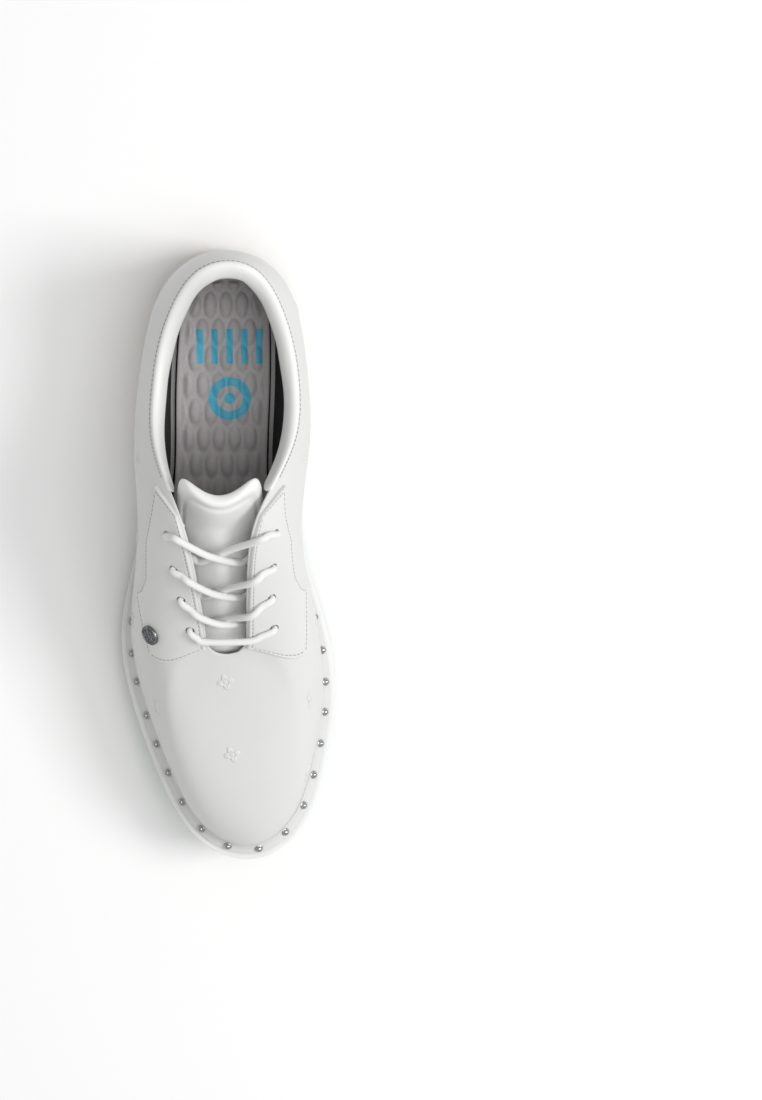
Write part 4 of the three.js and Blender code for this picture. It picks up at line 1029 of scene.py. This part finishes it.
# Whiter than the upper's leather: painted light, making up for the shade the tongue takes between the
# facings.
tongue_leather = leather("tongue_leather_brightened_as_painted_light", "#F2F2F0", "#ECECEA", 0.5, 0.00006,
                         {"Sheen Weight": 0.2})
tongue_turn = np.arange(360) * TURN / 360
half_long = (TONGUE_TO - TONGUE_ROOT) / 2
corner = (np.abs(np.cos(tongue_turn)) ** 5 + np.abs(np.sin(tongue_turn)) ** 5) ** (-1 / 5)
plan_s = half_long * corner * np.cos(tongue_turn)
plan_t = np.clip((plan_s + half_long + TONGUE_ROOT - TONGUE_FROM) / (TONGUE_TO - TONGUE_FROM), 0, 1)
plan_x = TONGUE_HALF * (0.82 + 0.18 * plan_t) * corner * np.sin(tongue_turn)
reach = np.hypot(plan_s, plan_x)


def tongue_ring(inset, off, share=None):
    """A closed ring of the tongue, an inset in millimetres from its outline or a share of it."""
    scale = (reach - inset) / reach if share is None else share
    return tongue_point(half_long + TONGUE_ROOT + plan_s * scale, plan_x * scale, off)


def pad_height(inset):
    """The leather dips into a soft channel behind its rolled rim and crowns beyond it."""
    return -0.9 * np.exp(-((inset - 6.0) / 1.5) ** 2) * (0.3 + 0.7 * smooth(plan_s, 10, 40))


rings = []
for share in np.linspace(0.02, 0.55, 14):
    rings.append(tongue_ring(0, pad_height(reach * (1 - share)), share))
for inset in np.linspace(0, 1, 22)[1:]:
    start = reach * (1 - 0.55)
    distance = start + (TONGUE_RIM - start) * inset
    rings.append(tongue_ring(distance, pad_height(distance)))
for t in np.linspace(0, math.pi, 13)[1:-1]:
    rings.append(tongue_ring(TONGUE_RIM * (1 - math.sin(t)), TONGUE_THICK / 2 * (math.cos(t) - 1)))
for inset in np.linspace(TONGUE_RIM, TONGUE_HEM, 4):
    rings.append(tongue_ring(inset, -TONGUE_THICK + 0.03 * inset))
for inset in np.linspace(TONGUE_HEM, 2.9, 4):
    rings.append(tongue_ring(inset, -TONGUE_THICK + TONGUE_SKIN))
for t in np.linspace(math.pi, 0, 9)[1:-1]:
    lift = -TONGUE_THICK / 2 + (TONGUE_THICK / 2 - TONGUE_SKIN) * math.cos(t)
    rings.append(tongue_ring(2.9 - 2.1 * math.sin(t), lift))
for share in np.linspace(0.9, 0.02, 20):
    distance = reach * (1 - share)
    rings.append(tongue_ring(0, pad_height(distance) - 1.1, share))
tongue = sweep("padded_tongue", np.stack(rings), False, tongue_leather, 60)
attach(tongue, "tongue")
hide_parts("tongue_leather")

backing = np.stack([tongue_ring(0, -TONGUE_THICK + 0.95, share) for share in np.linspace(0.02, 0.86, 20)]
                   + [tongue_ring(0, -TONGUE_THICK + 0.35, share) for share in np.linspace(0.86, 0.02, 20)])
tongue_back = sweep("tongue_backing_cloth", backing, False, black_lining, 60)
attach(tongue_back, "tongue")
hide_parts("tongue_lining")

# ---------------------------------------------------------------- lace
# One white braided cord through all eight eyelets. The strands of the braid are real relief:
# two families of ridges that spiral opposite ways and cross.

FACING = 1.3
LACE_OVER = FACING + 2 * OVERLAY_GAP + LACE / 2
EYELET_EDGE = [94.5, 104.5, 113.5, 124]
TUCKED = 1.1
UNDER_DIP = 0.3                # slack of the strands beneath the facings
HOLE_TURN = 0.9                # how far the cord turns down into a hole and up out of it
STRAND_LIFT = {"edge": 1.4, "upper": 3, "lower": -0.9}
BRAID = {"plies": 4, "pitch": 3.4, "inset": 0.10, "rise": 0.17}


def beside(side, row, share, off):
    """A point by an eyelet: share 0 at the hole, 1 on the opening edge beside it."""
    angle, v = eyelet_spots[side, row]
    edge = math.radians(EYELET_EDGE[row])
    edge = edge if side < 0 else TURN - edge
    return upper_point(angle + (edge - angle) * share, v + (1 - v) * share, off)


def through_hole(side, row):
    """Points of the cord from above to below through an eyelet."""
    return [beside(side, row, 0.22, LACE_OVER), beside(side, row, 0, LACE_OVER - HOLE_TURN),
            beside(side, row, -0.02, 0), beside(side, row, 0, LACE_UNDER + HOLE_TURN),
            beside(side, row, 0.22, LACE_UNDER - 0.2)]


def crossing(over, under):
    """Across the gap, from the top of one facing to beneath the other."""
    a = beside(*over, 1.05, LACE_OVER + STRAND_LIFT["edge"])
    b = beside(*under, 1.05, LACE_UNDER - UNDER_DIP)
    middle = (a + b) / 2 + instep_out * STRAND_LIFT["upper" if over[0] < 0 else "lower"]
    return [beside(*over, 0.55, LACE_OVER), a, middle, b, beside(*under, 0.55, LACE_UNDER)]


def half_lace(side):
    """From the tucked end by a top eyelet down to the bar between the bottom eyelets."""
    tucked = [beside(side, 0, share, LACE_UNDER - UNDER_DIP) for share in (-TUCKED, -0.35)]
    points = tucked + [beside(side, 0, 0, LACE_UNDER + HOLE_TURN), beside(side, 0, 0, 0),
                       beside(side, 0, 0, LACE_OVER - HOLE_TURN), beside(side, 0, 0.22, LACE_OVER)]
    for row in range(3):
        over = (side if row % 2 == 0 else -side, row)
        under = (-over[0], row + 1)
        points += crossing(over, under) + through_hole(*under)[::-1]
    return points + [beside(-side, 3, 0.55, LACE_OVER), beside(-side, 3, 1.02, LACE_OVER + 0.5)]


lace_cotton, tree, shader = new_material("white_braided_cotton", "#EEEEEC", 0.8, {"Sheen Weight": 0.4})
own = add_node(tree, "TexCoord").outputs["UV"]
stretched = add_node(tree, "Mapping", {"Scale": (60.0, 2.2, 1.0)}, {"Vector": own})
yarn = noise(tree, stretched.outputs["Vector"], 1.0, 4.0)
toned(tree, shader, yarn, "#F0F0EE", "#E3E3E0")
relief(tree, shader, yarn, 0.35, 0.00008)

dense = through(half_lace(-1) + half_lace(1)[::-1], 1600)
run = run_along(dense)
LACE_STEP = 0.34
marks = np.arange(0, run[-1], LACE_STEP)
lace_line = smoothed(at_marks(marks, run, dense), 3)
along = np.gradient(lace_line, axis=0)
along /= np.linalg.norm(along, axis=-1, keepdims=True)
side_vectors = np.empty_like(lace_line)
vector = np.array([0.0, 0.0, 1.0])
for k, direction in enumerate(along):
    vector = vector - direction * vector.dot(direction)
    vector /= np.linalg.norm(vector)
    side_vectors[k] = vector
other_vectors = np.cross(along, side_vectors)
LACE_SIDES = 32
turn = np.arange(LACE_SIDES) * TURN / LACE_SIDES
around, spiral = BRAID["plies"] * turn[None], marks[:, None] * TURN / BRAID["pitch"]
first_ply, second_ply = np.cos(around + spiral), np.cos(around - spiral)
ridge = np.maximum(np.abs(first_ply), np.abs(second_ply)) ** 2
taper = 1 - 0.35 * np.exp(-(np.minimum(marks, marks[-1] - marks) / 1.5) ** 2)
hole_centres = np.array([upper_surface(*spot) for spot in eyelet_spots.values()])
to_hole = np.linalg.norm(lace_line[:, None] - hole_centres[None], axis=-1).min(1)
pinch = 1 - 0.2 * np.exp(-(to_hole / 4.0) ** 4)
radius = (LACE / 2 - BRAID["inset"] + BRAID["rise"] * ridge) * (taper * pinch)[:, None]
rings = (lace_line[:, None] + side_vectors[:, None] * (radius * np.cos(turn))[..., None]
         + other_vectors[:, None] * (radius * np.sin(turn))[..., None])
lace_uv = np.stack(np.broadcast_arrays(np.arange(LACE_SIDES)[None] / LACE_SIDES, marks[:, None]), -1)
lace = sweep("lace_braided", rings, False, lace_cotton, 70, lace_uv)
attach(lace, "shoe")
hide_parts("lace")

# ---------------------------------------------------------------- footbed
# A loose grey footbed: a foam bed under a cover whose top is moulded into elongated nubs.
# A generic mark, a ring over a row of bars, is printed on the heel in sky blue.

BOARD_INSET, BOARD = 12.6, 2.2
FOOTBED_FOAM, FOOTBED_COVER, FOOTBED_CLEARANCE = 4.4, 1.1, 0.8
NUB = {"height": 1.7, "long": 13.0, "wide": 7.6}
footbed_inset = BOARD_INSET + FOOTBED_CLEARANCE
foam_low = GAP + BOARD + GAP
cover_low = foam_low + FOOTBED_FOAM + GAP


def nub_height(x, y):
    """Staggered rows of oval nubs on a brick lattice: H(1.1 - (x / a)^2 - (y / b)^2)^0.6 in each
    cell, cut off between 0 and 1 before the power."""
    row = np.floor(y / NUB["long"])
    px = np.mod(x / NUB["wide"] + 0.5 * np.mod(row, 2), 1) - 0.5
    py = np.mod(y / NUB["long"], 1) - 0.5
    return NUB["height"] * np.clip(1.1 - (px / 0.40) ** 2 - (py / 0.46) ** 2, 0, 1) ** 0.6


def footbed_plate(name, low, top, finish, nubs, inset_from, angles_count=360, across=90):
    """A plate over the insole board; its top carries the nubs, fading out at its border."""
    angles = np.linspace(0.03, math.pi - 0.03, angles_count)
    a = sole_point(angles, inset_from, welt_top)
    b = sole_point(TURN - angles, inset_from, welt_top)
    border = np.array([0, 0.004, 0.012, 0.025])
    t = np.concatenate([border, np.linspace(0.04, 0.96, across), 1 - border[::-1]])
    grid = a[:, None] * (1 - t)[None, :, None] + b[:, None] * t[None, :, None]
    width = np.linalg.norm(b - a, axis=-1)[:, None]
    inset = np.minimum(t, 1 - t)[None] * width
    shoulder = -0.5 * (1 - np.clip(inset / 0.9, 0, 1)) ** 2
    fade = smooth(inset, 2.5, 6) * smooth(width, 14, 24)
    upper_side, lower_side = grid.copy(), grid[:, ::-1].copy()
    upper_side[..., 2] += top + shoulder + (nub_height(grid[..., 0], grid[..., 1]) * fade if nubs else 0)
    lower_side[..., 2] += low
    return sweep(name, np.concatenate([upper_side, lower_side], 1), False, finish, 60)


footbed_fabric, tree, shader = new_material("grey_moulded_footbed_fabric", "#BDB8B9", 0.62,
                                            {"Sheen Weight": 0.3})
place = object_place(tree)
heather = noise(tree, place, 500.0, 4.0)
grey = add_node(tree, "Mix", {"data_type": "RGBA", 6: linear("#B4AFB0"), 7: linear("#CBC6C7")},
                {0: heather})
axes = add_node(tree, "SeparateXYZ", {}, {"Vector": place})


def math_node(operation, first, second=None):
    """One arithmetic step in the current tree; each argument is a socket or a number."""
    made = add_node(tree, "Math", {"operation": operation})
    for index, value in enumerate((first, second)):
        if isinstance(value, (int, float)):
            made.inputs[index].default_value = value
        elif value is not None:
            tree.links.new(value, made.inputs[index])
    return made.outputs["Value"]


PRINT_X = 0.0015
RING_Y, RING_OUT, RING_IN = 0.078, 0.0105, 0.0062
BARS_Y, BARS_TALL, BARS_REACH = 0.1035, 0.0085, 0.0175
BAR_PITCH, BAR_HALF_WIDTH = 0.0072, 0.0022 / 1.3
DOT_SHARE = 0.45               # radius of the dot, as a share of the ring's inside
ring_x = math_node("SUBTRACT", axes.outputs["X"], PRINT_X)
ring_y = math_node("SUBTRACT", axes.outputs["Y"], RING_Y)
squares = math_node("ADD", math_node("POWER", ring_x, 2.0), math_node("POWER", ring_y, 2.0))
span = math_node("SQRT", squares)
within, beyond = math_node("LESS_THAN", span, RING_OUT), math_node("GREATER_THAN", span, RING_IN)
ring = math_node("MULTIPLY", within, beyond)
dot = math_node("LESS_THAN", span, RING_IN * DOT_SHARE)
bar = math_node("LESS_THAN", math_node("PINGPONG", ring_x, BAR_PITCH / 2), BAR_HALF_WIDTH)
from_bars = math_node("ABSOLUTE", math_node("SUBTRACT", axes.outputs["Y"], BARS_Y))
bar_y = math_node("LESS_THAN", from_bars, BARS_TALL)
bar_x = math_node("LESS_THAN", math_node("ABSOLUTE", ring_x), BARS_REACH)
bars = math_node("MULTIPLY", bar, math_node("MULTIPLY", bar_y, bar_x))
printed = math_node("MAXIMUM", math_node("MAXIMUM", ring, dot), bars)
rubbed = math_node("SUBTRACT", 1.1, math_node("MULTIPLY", heather, 0.35))
worn = math_node("MULTIPLY", printed, rubbed)
blue = add_node(tree, "Mix", {"data_type": "RGBA", 7: linear("#4DBFDF")}, {0: worn, 6: grey.outputs[2]})
tree.links.new(blue.outputs[2], shader.inputs["Base Color"])
knit = add_node(tree, "TexVoronoi", {"Scale": 1300.0}, {"Vector": place})
relief(tree, shader, knit.outputs["Distance"], 0.4, 0.00012)

cover = footbed_plate("footbed_nubbed_cover", cover_low, cover_low + FOOTBED_COVER, footbed_fabric,
                      True, footbed_inset)
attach(cover, "footbed")
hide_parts("footbed_cover")

footbed_foam, tree, shader = new_material("charcoal_open_cell_foam", "#5E5A5A", 0.9)
cells = add_node(tree, "TexVoronoi", {"Scale": 900.0}, {"Vector": object_place(tree)})
relief(tree, shader, cells.outputs["Distance"], 0.7, 0.0002)
bed = footbed_plate("footbed_foam_bed", foam_low, foam_low + FOOTBED_FOAM, footbed_foam, False,
                    footbed_inset, 240, 30)
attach(bed, "footbed")
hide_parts("footbed_foam")

# ---------------------------------------------------------------- hidden pieces
# The pieces inside the shoe keep the model's shapes and take a finish each: steel shank, cork
# core, fibre board, stiffeners, foams, the eyelet rings, the rivet and washer, the aglets.


def speckled(name, colour, shade, roughness, scale, depth=0.00015, sockets=None):
    """A mottled finish with a matching relief, from one noise at a scale per metre."""
    made, tree, shader = new_material(name, colour, roughness, sockets)
    speck = noise(tree, object_place(tree), scale, 5.0)
    toned(tree, shader, speck, colour, shade)
    relief(tree, shader, speck, 0.5, depth)
    return made


cork = speckled("ground_cork", "#9A774F", "#6E4F31", 0.9, 450.0, 0.0003)
fibre_board = speckled("black_fibre_board", "#38342F", "#2A2724", 0.9, 700.0)
stiffener = speckled("thermoplastic_stiffener_sheet", "#CDBD9B", "#BCA985", 0.8, 600.0)
pale_foam = speckled("cream_foam", "#E4DBBF", "#D2C7A6", 0.95, 1200.0, 0.0003)
brushed_steel = speckled("brushed_steel", "#A9ABAE", "#8D8F92", 0.35, 800.0, 0.00002,
                         {"Metallic": 1.0})
white_acetate = speckled("white_acetate", "#F4F4F2", "#E6E6E4", 0.35, 300.0, 0.00003)
FINISHES = [
    (cork, ["midsole_core"]), (fibre_board, ["insole_board"]), (stiffener, ["heel_counter", "toe_puff"]),
    (pale_foam, ["collar_foam", "tongue_foam"]), (white_acetate, ["aglet_lateral", "aglet_medial"]),
    (brushed_steel, ["shank", "badge_rivet", "badge_washer"]
     + [f"eyelet_{side}_{row}" for side in ("lateral", "medial") for row in (1, 2, 3, 4)])]
for finish, nodes in FINISHES:
    for node in nodes:
        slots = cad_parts[node].data.materials
        slots.clear()
        slots.append(finish)
